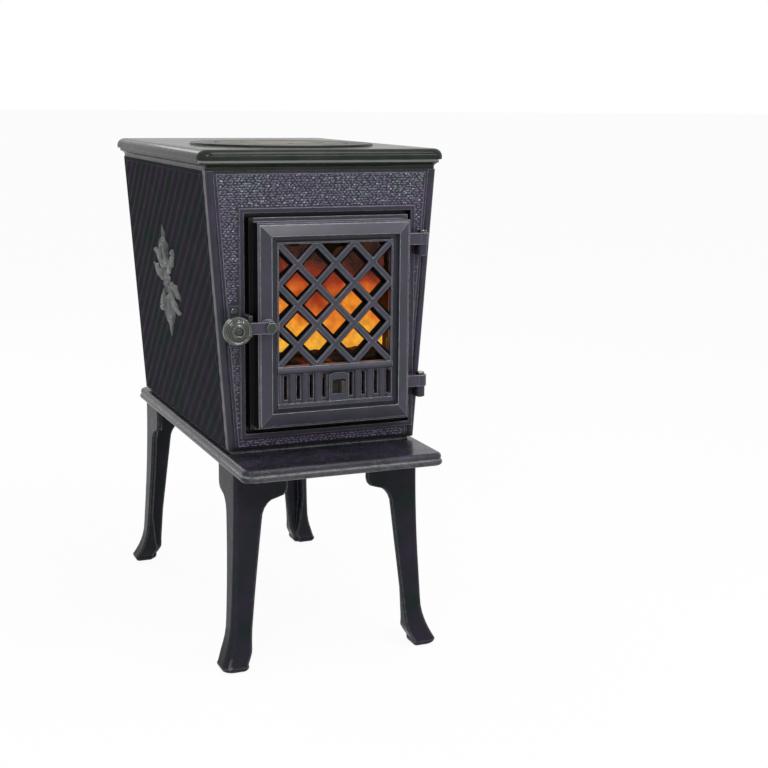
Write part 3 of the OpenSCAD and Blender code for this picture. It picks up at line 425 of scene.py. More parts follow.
def bump_from(tree, shader, height, distance, normal=None):
    """Turns a height into a bump of this many metres, on top of a normal if one is given."""
    bump = tree.nodes.new("ShaderNodeBump")
    bump.inputs["Distance"].default_value = distance
    tree.links.new(height, bump.inputs["Height"])
    if normal:
        tree.links.new(normal, bump.inputs["Normal"])
    tree.links.new(bump.outputs[0], shader.inputs["Normal"])


# %% Shares of a finish by place, as on the drawing
def box_share(tree, box):
    """1 inside a box of the stove and 0 outside. The box is three ranges: across, depth and height."""
    low, high = (at(*corner) for corner in zip(*box))
    return use_group(tree, inside_box, Low=low, High=high).outputs["Share"]


def low_share(tree, low, high):
    """1 below a height, fading to 0 at a second one."""
    return use_group(tree, foot_fade, Low=low * MM, High=high * MM).outputs["Share"]


def round_share(tree, centre, near, far):
    """1 near a point, fading to 0 at the distance far."""
    away = tree.nodes.new("ShaderNodeVectorMath")
    away.operation = "DISTANCE"
    tree.links.new(own_place(tree), away.inputs[0])
    away.inputs[1].default_value = at(*centre)
    return band(tree, away.outputs["Value"], near * MM, far * MM, 1.0, 0.0)


# %% [markdown]
# ## One recipe for everything cast
# The stove's outside is vitreous enamel, a thin glass fused to the iron. It could be a plain glossy
# paint, but then it would look like plastic. A dark base with a clear coat in the Principled shader is
# closer, because the coat mirrors sharply while the iron's grain below still softens it. Bare iron and
# steel go through the same recipe as metals. What differs from part to part is only a row of numbers.

# %% Cast finish
# A pale line painted along the top's front moulding: a painted highlight.
PAINTED_HIGHLIGHT_LINE = (0.3, 0.32, 0.31)
# Black painted in recesses behind the face: soot and painted shade.
SOOT_AND_SHADE = (0.001, 0.001, 0.001)


def cast_finish(name, body, drift, edge, rough=(0.3, 0.5), speckle=(0.2, 0.2, 0.25), share=0.0,
                grain=0.3, dents=0.5, radius=0.0012, bump=0.0004,
                metal=0.0, shine=0.25, coat=0.0, coat_rough=0.1,
                deepen=None, warm=None, painted_light=None, black=None):
    """Cast iron, enamelled or bare: two tones, the colour of its edges, and how rough it is.

    deepen is (low, high, colour), a colour that takes over low down.
    warm is (centre, near, far, colour), a round patch.
    The last two are boxes. One is painted with a pale line, which is a painted highlight, and the other is
    painted black, for soot and painted shade.
    """
    made, tree, shader = new_finish(
        name, Metallic=metal, Specular_IOR_Level=shine, Coat_Weight=coat, Coat_Roughness=coat_rough
    )
    skin = use_group(tree, cast_skin, Grain=grain, Dents=dents, Edge_Radius=radius)
    tone = use_group(
        tree, fired_colour, Body=body, Drift=drift, Speckle=speckle, Speckle_Share=share,
        Edge_Colour=edge, Edges=skin.outputs["Edges"],
    )
    colour = tone.outputs["Colour"]
    if deepen:
        colour = blend_colours(tree, low_share(tree, *deepen[:2]), colour, deepen[2])
    if warm:
        colour = blend_colours(tree, round_share(tree, *warm[:3]), colour, warm[3])
    # A pale line painted as a highlight, inside its box.
    if painted_light:
        colour = blend_colours(tree, box_share(tree, painted_light), colour, PAINTED_HIGHLIGHT_LINE)
    # Black painted inside its box: soot and painted shade.
    if black:
        colour = blend_colours(tree, box_share(tree, black), colour, SOOT_AND_SHADE)
    tree.links.new(colour, shader.inputs["Base Color"])
    tree.links.new(band(tree, tone.outputs["Gloss Loss"], 0.0, 1.0, *rough), shader.inputs["Roughness"])
    bump_from(tree, shader, skin.outputs["Height"], bump, skin.outputs["Normal"])
    print(f"{name}: {len(tree.nodes)} nodes")
    return made


# %% [markdown]
# ## Enamel of the front and the door
# The front plate, the door's frame and the lattice are blue-black with a violet drift. Their edges are
# painted pale, which is a painted highlight and partly wear. Behind the face all is painted black, for soot
# and for painted shade: the channel round the door, the frame's edge beside the latch and the back of the
# lattice. A box gives each of these places, and the plate's foot is painted dark as shade where it meets
# the base.

# %% Front, door and lattice
front_enamel = cast_finish(
    "front_enamel", (0.02, 0.022, 0.03), (0.034, 0.025, 0.048), (0.38, 0.4, 0.44),
    rough=(0.35, 0.55), shine=0.15, coat=0.25, coat_rough=0.2,
    # The plate's foot is painted near black: painted shade where it meets the base.
    deepen=(280, 285, (0.003, 0.003, 0.004)),
    # The channel round the door is painted black: soot and painted shade.
    black=((-120, 132), (0.8, 200), (290, 580)),
)
door_enamel = cast_finish(
    "door_enamel", (0.029, 0.031, 0.041), (0.043, 0.035, 0.06), (0.55, 0.57, 0.61),
    rough=(0.28, 0.42), radius=0.0013, shine=0.24, coat=0.2,
    # The frame's side beside the latch is painted black: soot and painted shade.
    black=((-100, -92.5), (-23.5, 3), (300, 570)),
)
panel_enamel = cast_finish(
    "panel_enamel", (0.03, 0.034, 0.045), (0.045, 0.04, 0.06), (0.42, 0.44, 0.5),
    radius=0.0009, shine=0.3,
    # The lattice's back and the walls of its openings are painted black: soot and painted shade.
    black=((-70, 80), (-26.2, 200), (385, 540)),
)

# %% [markdown]
# ## Enamel of the sides, the legs and the base
# The ribbed sides are nearly matt, so they mirror little and stay dark. The legs are smooth castings with
# soft dents, and a wide bevel gives them one long light along each rounded edge. Part of that light comes
# from the lamps, and part is a paler edge colour, which is a painted highlight, as along the base plate's
# nosing. The base plate is speckled, because ash and sparks fall on it. All three are one dark enamel in
# close tones, and what sets them apart is mostly roughness, coat and bevel.

# %% Sides, legs and base
side_enamel = cast_finish(
    "side_enamel", (0.014, 0.023, 0.021), (0.028, 0.019, 0.034), (0.1, 0.11, 0.12),
    rough=(0.45, 0.6), shine=0.005,
)
# The paler edge colour is a painted highlight along the legs' edges.
leg_enamel = cast_finish(
    "leg_enamel", (0.009, 0.015, 0.015), (0.02, 0.015, 0.028), (0.14, 0.16, 0.155),
    rough=(0.2, 0.35), dents=0.9, radius=0.003, shine=0.02, coat=0.15, coat_rough=0.07,
)
# The pale edge colour along the base's nosing is a painted highlight.
base_enamel = cast_finish(
    "base_enamel", (0.01, 0.012, 0.014), (0.03, 0.024, 0.042), (0.42, 0.44, 0.43),
    rough=(0.2, 0.35), speckle=(0.06, 0.052, 0.08), share=0.3, radius=0.004,
    shine=0.1, coat=0.2, coat_rough=0.07,
)

# %% [markdown]
# ## Enamel of the raised work
# Pebbles and leaves stand proud of the plate, and their enamel is paler than the ground around them. Their
# edges are paler still, which is a painted highlight. The pebbles turn more violet towards the foot. The
# spray has the coarsest grain, because the enamel lies thin on a raised ornament and the sand casting
# shows through.

# %% Pebbles and leaf spray
pebble_enamel = cast_finish(
    "pebble_enamel", (0.12, 0.138, 0.16), (0.09, 0.085, 0.125), (0.3, 0.32, 0.38),
    speckle=(0.4, 0.43, 0.48), share=0.4, radius=0.0003, shine=0.3,
    deepen=(280, 600, (0.13, 0.105, 0.17)),
)
spray_enamel = cast_finish(
    "spray_enamel", (0.05, 0.055, 0.055), (0.2, 0.21, 0.21), (0.5, 0.52, 0.52),
    rough=(0.35, 0.6), grain=0.8, bump=0.0006, shine=0.1,
)

# %% [markdown]
# ## The top and its lid
# The top plate has the glossiest coat, and a pale line is painted along its front moulding as a painted
# highlight. The lid is bare iron, with a tan patch in the middle. The patch is a distance from the lid's
# centre turned into a share, which fades out further away. The lid's grooves are painted darker, as
# painted shade.

# %% Top plate and lid
top_enamel = cast_finish(
    "top_enamel", (0.01, 0.015, 0.011), (0.02, 0.024, 0.018), (0.1, 0.115, 0.095),
    rough=(0.26, 0.4), shine=0.02, coat=0.27, coat_rough=0.05,
    # A pale line painted along the front moulding: a painted highlight.
    painted_light=((-160, 160), (-30, 10), (631.6, 634.2)),
)
# The dark edge colour is painted shade in the lid's grooves, and warm gives the tan patch in the middle.
lid_iron = cast_finish(
    "lid_iron", (0.03, 0.034, 0.026), (0.05, 0.052, 0.036), (0.01, 0.011, 0.009),
    rough=(0.3, 0.5), shine=0.1,
    warm=((0, 160, 650), 40, 80, (0.1, 0.078, 0.046)),
)

# %% [markdown]
# ## Bare iron and steel
# The plates round the fire have no enamel and are scaled by heat, so they are rough and only partly
# metal. The knob and its fittings are turned and polished, and the screws are plain steel with a smooth
# skin. A metal shows what is around it, so its bump stays tiny: a deep one breaks the mirror into
# sparkle.

# %% Iron, knob and bolts
raw_iron = cast_finish(
    "raw_iron", (0.05, 0.045, 0.04), (0.09, 0.06, 0.045), (0.2, 0.18, 0.16),
    rough=(0.6, 0.85), grain=0.7, metal=0.3,
)
# The pale edge colour is a painted highlight on the knob's rim.
knob_metal = cast_finish(
    "knob_metal", (0.05, 0.056, 0.05), (0.08, 0.087, 0.078), (0.6, 0.63, 0.6),
    rough=(0.14, 0.24), grain=0.1, dents=0.3, radius=0.0009, bump=0.0001, metal=1.0,
)
bolt_steel = cast_finish(
    "bolt_steel", (0.3, 0.3, 0.3), (0.42, 0.4, 0.38), (0.75, 0.75, 0.75),
    rough=(0.25, 0.5), grain=0.1, dents=0.1, radius=0.0005, metal=1.0,
)

# %% [markdown]
# ## Rope of the door seal
# The door closes on a rope of twisted glass fibre, and a flat strip of the same seals the glass. Strands
# laid one by one would be fine work that the closed door hides, so slanting bands of a wave make the
# twist, both in colour and in height, and a very fine noise adds the fluff.

# %% Rope fibre
TWIST_SCALE, FLUFF_SCALE = 160, 900
rope_fibre, tree, shader = new_finish("rope_fibre", Roughness=0.95, Sheen_Weight=0.3)
place = own_place(tree)
twist = tree.nodes.new("ShaderNodeTexWave")
twist.bands_direction = "DIAGONAL"
twist.inputs["Scale"].default_value = TWIST_SCALE
twist.inputs["Distortion"].default_value = 2.5
tree.links.new(place, twist.inputs["Vector"])
fluff = noise_of(tree, place, FLUFF_SCALE, 3)
strands = blend_colours(tree, twist.outputs["Fac"], (0.3, 0.28, 0.24), (0.62, 0.6, 0.55))
tree.links.new(strands, shader.inputs["Base Color"])
bump_from(tree, shader, calc(tree, "ADD", twist.outputs["Fac"], fluff), 0.0006)
print(f"{rope_fibre.name}: {len(tree.nodes)} nodes")

# %% [markdown]
# ## The door's glass
# The pane is ceramic glass with a brown haze of smoke. A true glass bends the light, which needs many
# rays to come out clean. A low IOR keeps the fire behind it sharp, and the haze comes from noise, in the
# colour and in the roughness.

# %% Door glass
door_glass, tree, shader = new_finish(
    "door_glass", Transmission_Weight=1.0, IOR=1.1, Metallic=0.0, Coat_Weight=0.0
)
haze = band(tree, noise_of(tree, own_place(tree), 24, 4), 0.35, 0.75)
tree.links.new(blend_colours(tree, haze, (1.0, 0.98, 0.95), (0.9, 0.8, 0.68)), shader.inputs["Base Color"])
tree.links.new(band(tree, haze, 0.0, 1.0, 0.02, 0.08), shader.inputs["Roughness"])
print(f"{door_glass.name}: {len(tree.nodes)} nodes")

# %% [markdown]
# ## Which solid wears what
# The solids come with plain stand-in colours. Each one's material slots get a finish from this list, by
# the solid's name, so that a solid that was forgotten would show up in the count.

# %% Give each solid its finish
FINISHES = (
    (front_enamel, "front_plate latch_keeper"),
    (door_enamel, "door_frame latch_lever"),
    (panel_enamel, "door_grille"),
    (side_enamel, "left_side_plate right_side_plate rear_plate flue_collar"),
    (leg_enamel, "front_left_leg front_right_leg rear_left_leg rear_right_leg"),
    (base_enamel, "base_plate"),
    (top_enamel, "top_plate"),
    (lid_iron, "cooking_plate"),
    (raw_iron, "fire_bed_plate left_burn_plate right_burn_plate rear_burn_plate baffle_plate log_retainer"),
    (raw_iron, "air_slide"),
    (knob_metal, "latch_knob knob_screw latch_pivot_bolt hinge_pins keeper_screws"),
    (bolt_steel, "flue_collar_screws tie_rods tie_rod_nuts grille_screws glass_clips"),
    (bolt_steel, "glass_clip_screws slide_retainer retainer_screws"),
    (rope_fibre, "door_gasket glass_gasket"),
    (door_glass, "door_glass"),
)
dressed = 0
for finish, names in FINISHES:
    for name in names.split():
        for holder in nodes[name].material_slots:
            holder.material = finish
        dressed += 1
print(dressed, "of", len(nodes), "solids have a finish")

# %% [markdown]
# ## Small shapes made from points
# The pieces below are plain meshes: a list of points and a list of faces. Blender's own primitives would
# give one plain body each, while a point list lets a few lines of arithmetic lay out a thousand pebbles
# or a leaf. Every new piece is named, rides on the body that carries it, and takes one of the finishes
# above in its material slot.

# %% New piece
def new_piece(name, points, faces, finish, body, smooth=True):
    """A mesh piece that rides on a body of the stove. Points are in metres."""
    mesh = bpy.data.meshes.new(name)
    mesh.from_pydata([tuple(p) for p in points], [], faces)
    mesh.update()
    mesh.materials.append(finish)
    for polygon in mesh.polygons:
        polygon.use_smooth = smooth
    piece = bpy.data.objects.new(name, mesh)
    scene.collection.objects.link(piece)
    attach(piece, body)
    print(f"{name}: {len(points)} points, {len(faces)} faces")


# %% Low dome
DOME_RINGS = ((1.0, -0.25), (0.72, 0.62))  # share of the size, share of the rise


def add_dome(points, faces, centre, along, across, out, size, rise, sides=8):
    """One low dome on a surface: two rings and a tip, sunk a little at its foot."""
    first = len(points)
    for share, lift in DOME_RINGS:
        for i in range(sides):
            turn = 2 * math.pi * i / sides
            points.append(
                centre + along * (size[0] * share * math.cos(turn))
                + across * (size[1] * share * math.sin(turn)) + out * (rise * lift)
            )
    points.append(centre + out * rise)
    for i in range(sides):
        j = (i + 1) % sides
        faces.append((first + i, first + j, first + sides + j, first + sides + i))
        faces.append((first + sides + i, first + sides + j, first + 2 * sides))


# %% [markdown]
# ## The pebbled front
# The front plate's flat fields are cast with a skin of small pebbles, a little wider than they are high.
# A bump would look flat from the side, so each pebble is a real dome. They are laid out like bricks, and
# each is pushed about by a random amount from a fixed seed, so that the skin comes out the same on every
# run. Fields that touch the door's rim, the latch's keeper or a hinge are left free.

# %% The body's slanting outline
BODY_FOOT, BODY_TOP = 277.5, 622.0
FOOT_HALF, TOP_HALF = 124.5, 150.0


def half_width(z):
    """Half the width of the body at a height, in millimetres."""
    return FOOT_HALF + (TOP_HALF - FOOT_HALF) * (z - BODY_FOOT) / (BODY_TOP - BODY_FOOT)


print("the body's half width grows from", half_width(BODY_FOOT), "to", half_width(BODY_TOP), "mm")

# %% Pebbles
PAD_DEPTH = -1.5  # the raised fields stand this far in front of the face
PAD_MARGIN = 13  # from the body's edge to a field
ROW_MARGIN, PEBBLE_MARGIN = 5.5, 2.4
PEBBLE_PITCH = (5.0, 3.0)
PEBBLE_SHIFT = (1.2, 0.55)
PEBBLE_WIDE, PEBBLE_HIGH = (1.5, 3.0), (0.9, 1.5)  # halves, least and most
PEBBLE_RISE = (0.55, 0.95)
PEBBLE_TILT = 0.35  # radians
PEBBLE_SEED = 11
BARE = (  # x0, x1, z0, z1 in millimetres
    (-111.5, 123.5, 291, 579),  # door channel and its rim
    (-127, -108, 406, 463),  # keeper
    (112, 140, 330, 350),  # lower hinge
    (112, 140, 512, 532),  # upper hinge
)


def add_pebble(points, faces, dice, x, z):
    """One pebble near a place of the pattern, unless that is bare."""
    spot_x = x + dice.uniform(-PEBBLE_SHIFT[0], PEBBLE_SHIFT[0])
    spot_z = z + dice.uniform(-PEBBLE_SHIFT[1], PEBBLE_SHIFT[1])
    size = (dice.uniform(*PEBBLE_WIDE) * MM, dice.uniform(*PEBBLE_HIGH) * MM)
    rise = dice.uniform(*PEBBLE_RISE) * MM
    tilt = dice.uniform(-PEBBLE_TILT, PEBBLE_TILT)
    if any(x0 < spot_x < x1 and z0 < spot_z < z1 for x0, x1, z0, z1 in BARE):
        return
    along = Vector((math.cos(tilt), 0, math.sin(tilt)))
    across = Vector((-math.sin(tilt), 0, math.cos(tilt)))
    add_dome(points, faces, at(spot_x, PAD_DEPTH, spot_z), along, across, Vector((0, -1, 0)), size, rise)


dice = random.Random(PEBBLE_SEED)
points, faces = [], []
row = 0
z = BODY_FOOT + ROW_MARGIN
while z < BODY_TOP - ROW_MARGIN:
    reach = half_width(z) - PAD_MARGIN - PEBBLE_MARGIN
    x = -reach + (row % 2) * PEBBLE_PITCH[0] / 2
    while x < reach:
        add_pebble(points, faces, dice, x, z)
        x += PEBBLE_PITCH[0]
    z += PEBBLE_PITCH[1]
    row += 1
new_piece("front_pebbles", points, faces, pebble_enamel, "stove")

# %% [markdown]
# ## The cast spray on the sides
# Each side plate carries a raised ornament. This one is a plain leaf spray: a rosette, curling stems and
# leaves in pairs. It could be sculpted, but a few curves say it all and can be mirrored. A leaf is a
# small net of points along its middle line, and a stem is a tapering ridge on a spiral. All of it is
# drawn flat, with u counted to the back and w up the plate, then laid on the slanting plate.

# %% Laying a drawing on the slanting side
SLOPE = math.atan((TOP_HALF - FOOT_HALF) / (BODY_TOP - BODY_FOOT))
SPRAY_MIDDLE = (230.5, 463.0)  # depth and height of its middle
SKIN_OUT = 1.6  # how far the plate's ribs stand out
print("the side plates lean out by", round(math.degrees(SLOPE), 2), "degrees")


def on_side(side, u, w, lift):
    """A point of the flat drawing, laid on the left (-1) or right (1) side plate."""
    z = SPRAY_MIDDLE[1] + w * math.cos(SLOPE)
    x = half_width(z) + (SKIN_OUT + lift) * math.cos(SLOPE)
    return at(side * x, SPRAY_MIDDLE[0] + u, z - (SKIN_OUT + lift) * math.sin(SLOPE))


def cross_row(side, u, w, angle, half, profile, rise):
    """One row of points across a leaf or stem. Points below 0 in the profile sink into the plate."""
    row = []
    for across, height in profile:
        du, dw = -math.sin(angle) * half * across, math.cos(angle) * half * across
        lift = rise * height if height > 0 else height
        row.append(on_side(side, u + du, w + dw, lift))
    return row if side > 0 else row[::-1]


def add_net(points, faces, rows):
    """Joins rows of points of equal length into quads."""
    first, width = len(points), len(rows[0])
    for row in rows:
        points.extend(row)
    for i in range(len(rows) - 1):
        for j in range(width - 1):
            a = first + i * width + j
            faces.append((a, a + 1, a + width + 1, a + width))


# %% Leaf
LEAF_STEPS = 12
LEAF_PROFILE = ((-1, -1.4), (-0.92, 0.25), (-0.5, 0.85), (0, 1), (0.5, 0.85), (0.92, 0.25), (1, -1.4))
GROOVED_PROFILE = tuple((across, 0.6 if across == 0 else height) for across, height in LEAF_PROFILE)
LOBE_DEPTH = 0.22


def add_leaf(points, faces, side, start, heading, length, width, bend, rise, lobes=0):
    """A leaf that turns by bend degrees over its length, narrow at its foot and pointed at its tip.

    It is highest a little before its middle. A leaf with lobes has a groove down its middle line.
    """
    u, w = start
    rows = []
    for i in range(LEAF_STEPS + 1):
        share = i / LEAF_STEPS
        angle = math.radians(heading + bend * i / LEAF_STEPS)
        half = width / 2 * math.sin(math.pi * min(1, share * 0.93 + 0.07)) ** 0.8
        half *= 1 + LOBE_DEPTH * math.sin(lobes * math.pi * share)
        swell = 0.45 + 0.55 * math.sin(math.pi * min(1, share + 0.12))
        profile = GROOVED_PROFILE if lobes else LEAF_PROFILE
        rows.append(cross_row(side, u, w, angle, half, profile, rise * swell))
        u += math.cos(angle) * length / LEAF_STEPS
        w += math.sin(angle) * length / LEAF_STEPS
    add_net(points, faces, rows)


# %% Stem
STEM_STEPS = 26
STEM_PROFILE = ((-1, -1.4), (-0.85, 0.4), (-0.4, 0.9), (0, 1), (0.4, 0.9), (0.85, 0.4), (1, -1.4))
CURL = 2.6  # a stem bends this many times faster at its tip


def add_stem(points, faces, side, start, heading, length, bend, widths, rise):
    """A tapering ridge that curls up more and more towards its tip."""
    u, w = start
    angle = math.radians(heading)
    rows = []
    for i in range(STEM_STEPS + 1):
        share = i / STEM_STEPS
        half = (widths[0] * (1 - share) + widths[1] * share) / 2
        rows.append(cross_row(side, u, w, angle, half, STEM_PROFILE, rise))
        u += math.cos(angle) * length / STEM_STEPS
        w += math.sin(angle) * length / STEM_STEPS
        angle += math.radians(bend) / STEM_STEPS * (1 + (CURL - 1) * share)
    add_net(points, faces, rows)


# %% The whole spray
STEMS = (  # start, heading, length, bend, widths at foot and tip, rise
    ((10, 8), 42, 128, 205, (8, 4.5), 3.0),
    ((-10, 10), 118, 112, -200, (7, 4), 2.8),
)
LEAVES = (  # start, heading, length, width, bend, rise, lobes
    ((0, 18), 90, 58, 19, 0, 3.4, 5),
    ((14, 12), 55, 46, 15, -38, 3.0, 4),
    ((-14, 12), 128, 46, 15, 38, 3.0, 4),
    ((18, 3), 8, 50, 17, 24, 3.0, 4),
    ((34, 34), 20, 26, 9, -30, 2.4, 0),
    ((-30, 40), 160, 24, 9, 40, 2.4, 0),
)
PETALS, FIRST_PETAL = 8, 22  # how many, and the first one's heading
PETAL = (19, 11, 0, 3.8)  # length, width, bend, rise
BUTTON_HALF, BUTTON_FOOT, BUTTON_RISE = 6, 2.4, 3.4


def spray(side):
    """One side's ornament: stems and leaves, the same turned half a circle, then petals and a button."""
    points, faces = [], []
    for flip, turn in ((1, 0), (-1, 180)):
        for (u, w), heading, *rest in STEMS:
            add_stem(points, faces, side, (u * flip, w * flip), heading + turn, *rest)
        for (u, w), heading, *rest in LEAVES:
            add_leaf(points, faces, side, (u * flip, w * flip), heading + turn, *rest)
    for i in range(PETALS):
        add_leaf(points, faces, side, (0, 0), 360 // PETALS * i + FIRST_PETAL, *PETAL)
    middle = on_side(side, 0, 0, BUTTON_FOOT)
    out = (on_side(side, 0, 0, BUTTON_FOOT + 1) - middle).normalized()
    upright = (on_side(side, 0, 1, BUTTON_FOOT) - middle).normalized()
    size = (BUTTON_HALF * MM, BUTTON_HALF * MM)
    add_dome(points, faces, middle, upright.cross(out), upright, out, size, BUTTON_RISE * MM, 16)
    return points, faces


for side, name in ((-1, "left"), (1, "right")):
    points, faces = spray(side)
    new_piece(f"{name}_leaf_spray", points, faces, spray_enamel, "stove")

# %% [markdown]
# ## Charred bark
# The logs are seen by their own fire: black bark, cracked along its length, with embers in some of the
# cracks. A cell pattern gives the cracks, because the borders of its cells meet as bark's cracks do, and
# squeezing it along the log makes the cells long. The same borders light up as embers, but not low down,
# where they would shine through the door's air slots.

# %% Bark
CRACK_SCALE, CRACK_STRETCH = 95, (0.25, 1, 1)
EMBER_FOOT = (345, 355)  # no embers below, all of them above
EMBER = (0.25, 0.03, 0.006)

bark, tree, shader = new_finish("charred_bark", Roughness=0.92)
place = own_place(tree)
stretched = tree.nodes.new("ShaderNodeMapping")
stretched.inputs["Scale"].default_value = CRACK_STRETCH
tree.links.new(place, stretched.inputs["Vector"])
cracks = tree.nodes.new("ShaderNodeTexVoronoi")
cracks.feature = "DISTANCE_TO_EDGE"
cracks.inputs["Scale"].default_value = CRACK_SCALE
tree.links.new(stretched.outputs[0], cracks.inputs["Vector"])

char = blend_colours(tree, noise_of(tree, place, 130, 4), (0.012, 0.009, 0.008), (0.06, 0.035, 0.022))
tree.links.new(char, shader.inputs["Base Color"])
in_cracks = band(tree, cracks.outputs["Distance"], 0.06, 0.0)
in_patches = band(tree, noise_of(tree, place, 30, 3), 0.56, 0.66)
high_up = calc(tree, "SUBTRACT", 1.0, low_share(tree, *EMBER_FOOT))
embers = calc(tree, "MULTIPLY", in_cracks, calc(tree, "MULTIPLY", in_patches, high_up))
tree.links.new(blend_colours(tree, embers, (0.0, 0.0, 0.0), EMBER), shader.inputs["Emission Color"])
shader.inputs["Emission Strength"].default_value = 1.0
bump_from(tree, shader, band(tree, cracks.outputs["Distance"], 0.0, 0.25), 0.0015)
print(f"{bark.name}: {len(tree.nodes)} nodes")

# %% [markdown]
# ## The logs
# Three charred logs lie behind the glass. The front one is the highest, and its dark top is the sharp lower
# edge of the glow. A cylinder with a bump would stay round at its outline, so each log is a tube of rings
# instead, whose radius follows a few slow waves and a little chance at every point.

# %% Logs
LOG_RING, LOG_STEPS = 36, 30  # points round a log, and rings along it
LOG_PINCH = 0.93  # how much of its thickness a log keeps at its ends
LOG_TWIST = 120  # how far the waves wander round a log on their way along it
LOGS = {  # start, end, radius, seed
    "front_log": ((-90, 56, 359), (98, 55, 360), 28.5, 3),
    "low_log": ((-92, 84, 311), (90, 82, 312), 24.5, 5),
    "rear_log": ((-88, 138, 311), (92, 142, 312), 24.5, 8),
}


def log_points(start, end, radius, seed):
    """Rings of points round a line, each ring's radius wavy and rough."""
    dice = random.Random(seed)
    along = (end - start).normalized()
    side = along.cross(Vector((0, 0, 1))).normalized()
    upright = side.cross(along)
    waves = [(dice.randint(2, 9), dice.uniform(0, 6.28), dice.uniform(0.01, 0.035)) for _ in range(5)]
    points = []
    for i in range(LOG_STEPS + 1):
        share = i / LOG_STEPS
        keep = LOG_PINCH if i in (0, LOG_STEPS) else 1
        wander = LOG_TWIST * share
        for j in range(LOG_RING):
            turn = 2 * math.pi * j / LOG_RING
            bulge = sum(size * math.sin(n * turn + phase + wander * size) for n, phase, size in waves)
            ridge = dice.uniform(-0.02, 0.03)
            reach = radius * MM * keep * (1 + bulge + ridge)
            out = side * math.cos(turn) + upright * math.sin(turn)
            points.append(start.lerp(end, share) + out * reach)
    return points


def log_faces():
    """Quads between the rings, and a fan to a middle point at either end."""
    faces = []
    for i in range(LOG_STEPS):
        for j in range(LOG_RING):
            k = (j + 1) % LOG_RING
            first, second = i * LOG_RING, (i + 1) * LOG_RING
            faces.append((first + j, first + k, second + k, second + j))
    last = LOG_STEPS * LOG_RING
    tip = last + LOG_RING
    faces += [((j + 1) % LOG_RING, j, tip) for j in range(LOG_RING)]
    faces += [(last + j, last + (j + 1) % LOG_RING, tip + 1) for j in range(LOG_RING)]
    return faces


for name, (start, end, radius, seed) in LOGS.items():
    start, end = at(*start), at(*end)
    points = log_points(start, end, radius, seed) + [start, end]
    new_piece(name, points, log_faces(), bark, "stove")

# %% [markdown]
# ## The colour of fire
# A real fire is best made as a volume, but a volume doesn't leave Blender with the model. So the flames
# are thin sheets that give their own light. Fire is yellow where it is hottest, at the foot, then orange,
# red and nearly black at the tips, and a colour ramp says just that. What drives it is the height on the
# stove with some noise added, so the colours stay on the flames from every side.

# %% Flame finish
FLAME_FOOT, FLAME_TIP = 352, 512  # heights in millimetres
WAVER = 0.13  # how far noise shifts the colours up or down, in metres
FLAME_COLOURS = (  # share of the height, colour
    (0.2, (1.0, 0.5, 0.05)),
    (0.38, (0.95, 0.35, 0.03)),
    (0.54, (0.8, 0.18, 0.02)),
    (0.7, (0.36, 0.04, 0.014)),
    (0.84, (0.12, 0.022, 0.014)),
)
FOOT_COLOUR, TIP_COLOUR = (1.0, 0.56, 0.06, 1), (0.02, 0.012, 0.01, 1)
GAP_COLOUR = (0.12, 0.03, 0.01)

flame, tree, shader = new_finish("flame", Roughness=1.0, Base_Color=(0.01, 0.004, 0.002, 1))
place = own_place(tree)
flicker = calc(tree, "SUBTRACT", noise_of(tree, place, 22), 0.5)
height = calc(tree, "ADD", height_of(tree, place), calc(tree, "MULTIPLY", flicker, WAVER))
glow = tree.nodes.new("ShaderNodeValToRGB")
tree.links.new(band(tree, height, FLAME_FOOT * MM, FLAME_TIP * MM), glow.inputs["Fac"])
glow.color_ramp.elements[0].color = FOOT_COLOUR
glow.color_ramp.elements[1].color = TIP_COLOUR
for share, colour in FLAME_COLOURS:
    glow.color_ramp.elements.new(share).color = (*colour, 1)
mottle = band(tree, noise_of(tree, place, 110), 0.25, 0.65, 0.6, 1.0)
mottled = blend_colours(tree, mottle, GAP_COLOUR, glow.outputs["Color"])
tree.links.new(mottled, shader.inputs["Emission Color"])
shader.inputs["Emission Strength"].default_value = 1.0
print(f"{flame.name}: {len(tree.nodes)} nodes")

# %% [markdown]
# ## The flames
# Seen through the lattice, fire fills the window like a curtain. Two curtains rise behind the front log,
# one behind the other. Each is a folded sheet that bows forward at both ends, so that a slanting look
# meets fire at the sides too, and its top edge is cut into tongues. It has a front and a back, joined at
# the edges, because an open sheet has no thickness to export.

# %% Shape of a curtain
ACROSS, UP = 60, 26  # squares across and up a curtain
FOLD, FOLDS = 5, 13
BOW, BOW_POWER = 34, 2.2
SWAY = 4
FOOT_THICK, TIP_THICK = 2.7, 0.5


def crest_at(share, tips, phase):
    """How high the curtain is at a share of its width. Two slow waves and a fast one make the tongues."""
    slow = 0.06 * math.sin(5 * share * math.pi + phase[0]) * math.sin(3 * share + phase[1])
    fast = 0.04 * math.sin(11 * share * math.pi + phase[2])
    return tips * (0.9 + slow + fast)


def curtain_points(seed, x0, x1, depth, foot, tips):
    """Rows of points from the foot to the tips: first the whole front, then the whole back."""
    dice = random.Random(seed)
    phase = [dice.uniform(0, 6.28) for _ in range(4)]
    front, back = [], []
    for i in range(UP + 1):
        rise = i / UP
        thick = (FOOT_THICK - TIP_THICK) * (1 - rise) + TIP_THICK
        for j in range(ACROSS + 1):
            share = j / ACROSS
            sway = SWAY * math.sin(3 * rise * math.pi + phase[1] + 6 * share)
            fold = FOLD * math.sin(FOLDS * share * math.pi + phase[3] + 2 * rise) * (0.4 + rise)
            bow = BOW * abs(2 * share - 1) ** BOW_POWER
            x = x0 + (x1 - x0) * share + sway
            z = foot + crest_at(share, tips, phase) * rise
            front.append(at(x, depth - bow + fold, z))
            back.append(at(x, depth - bow + fold + thick, z))
    return front + back


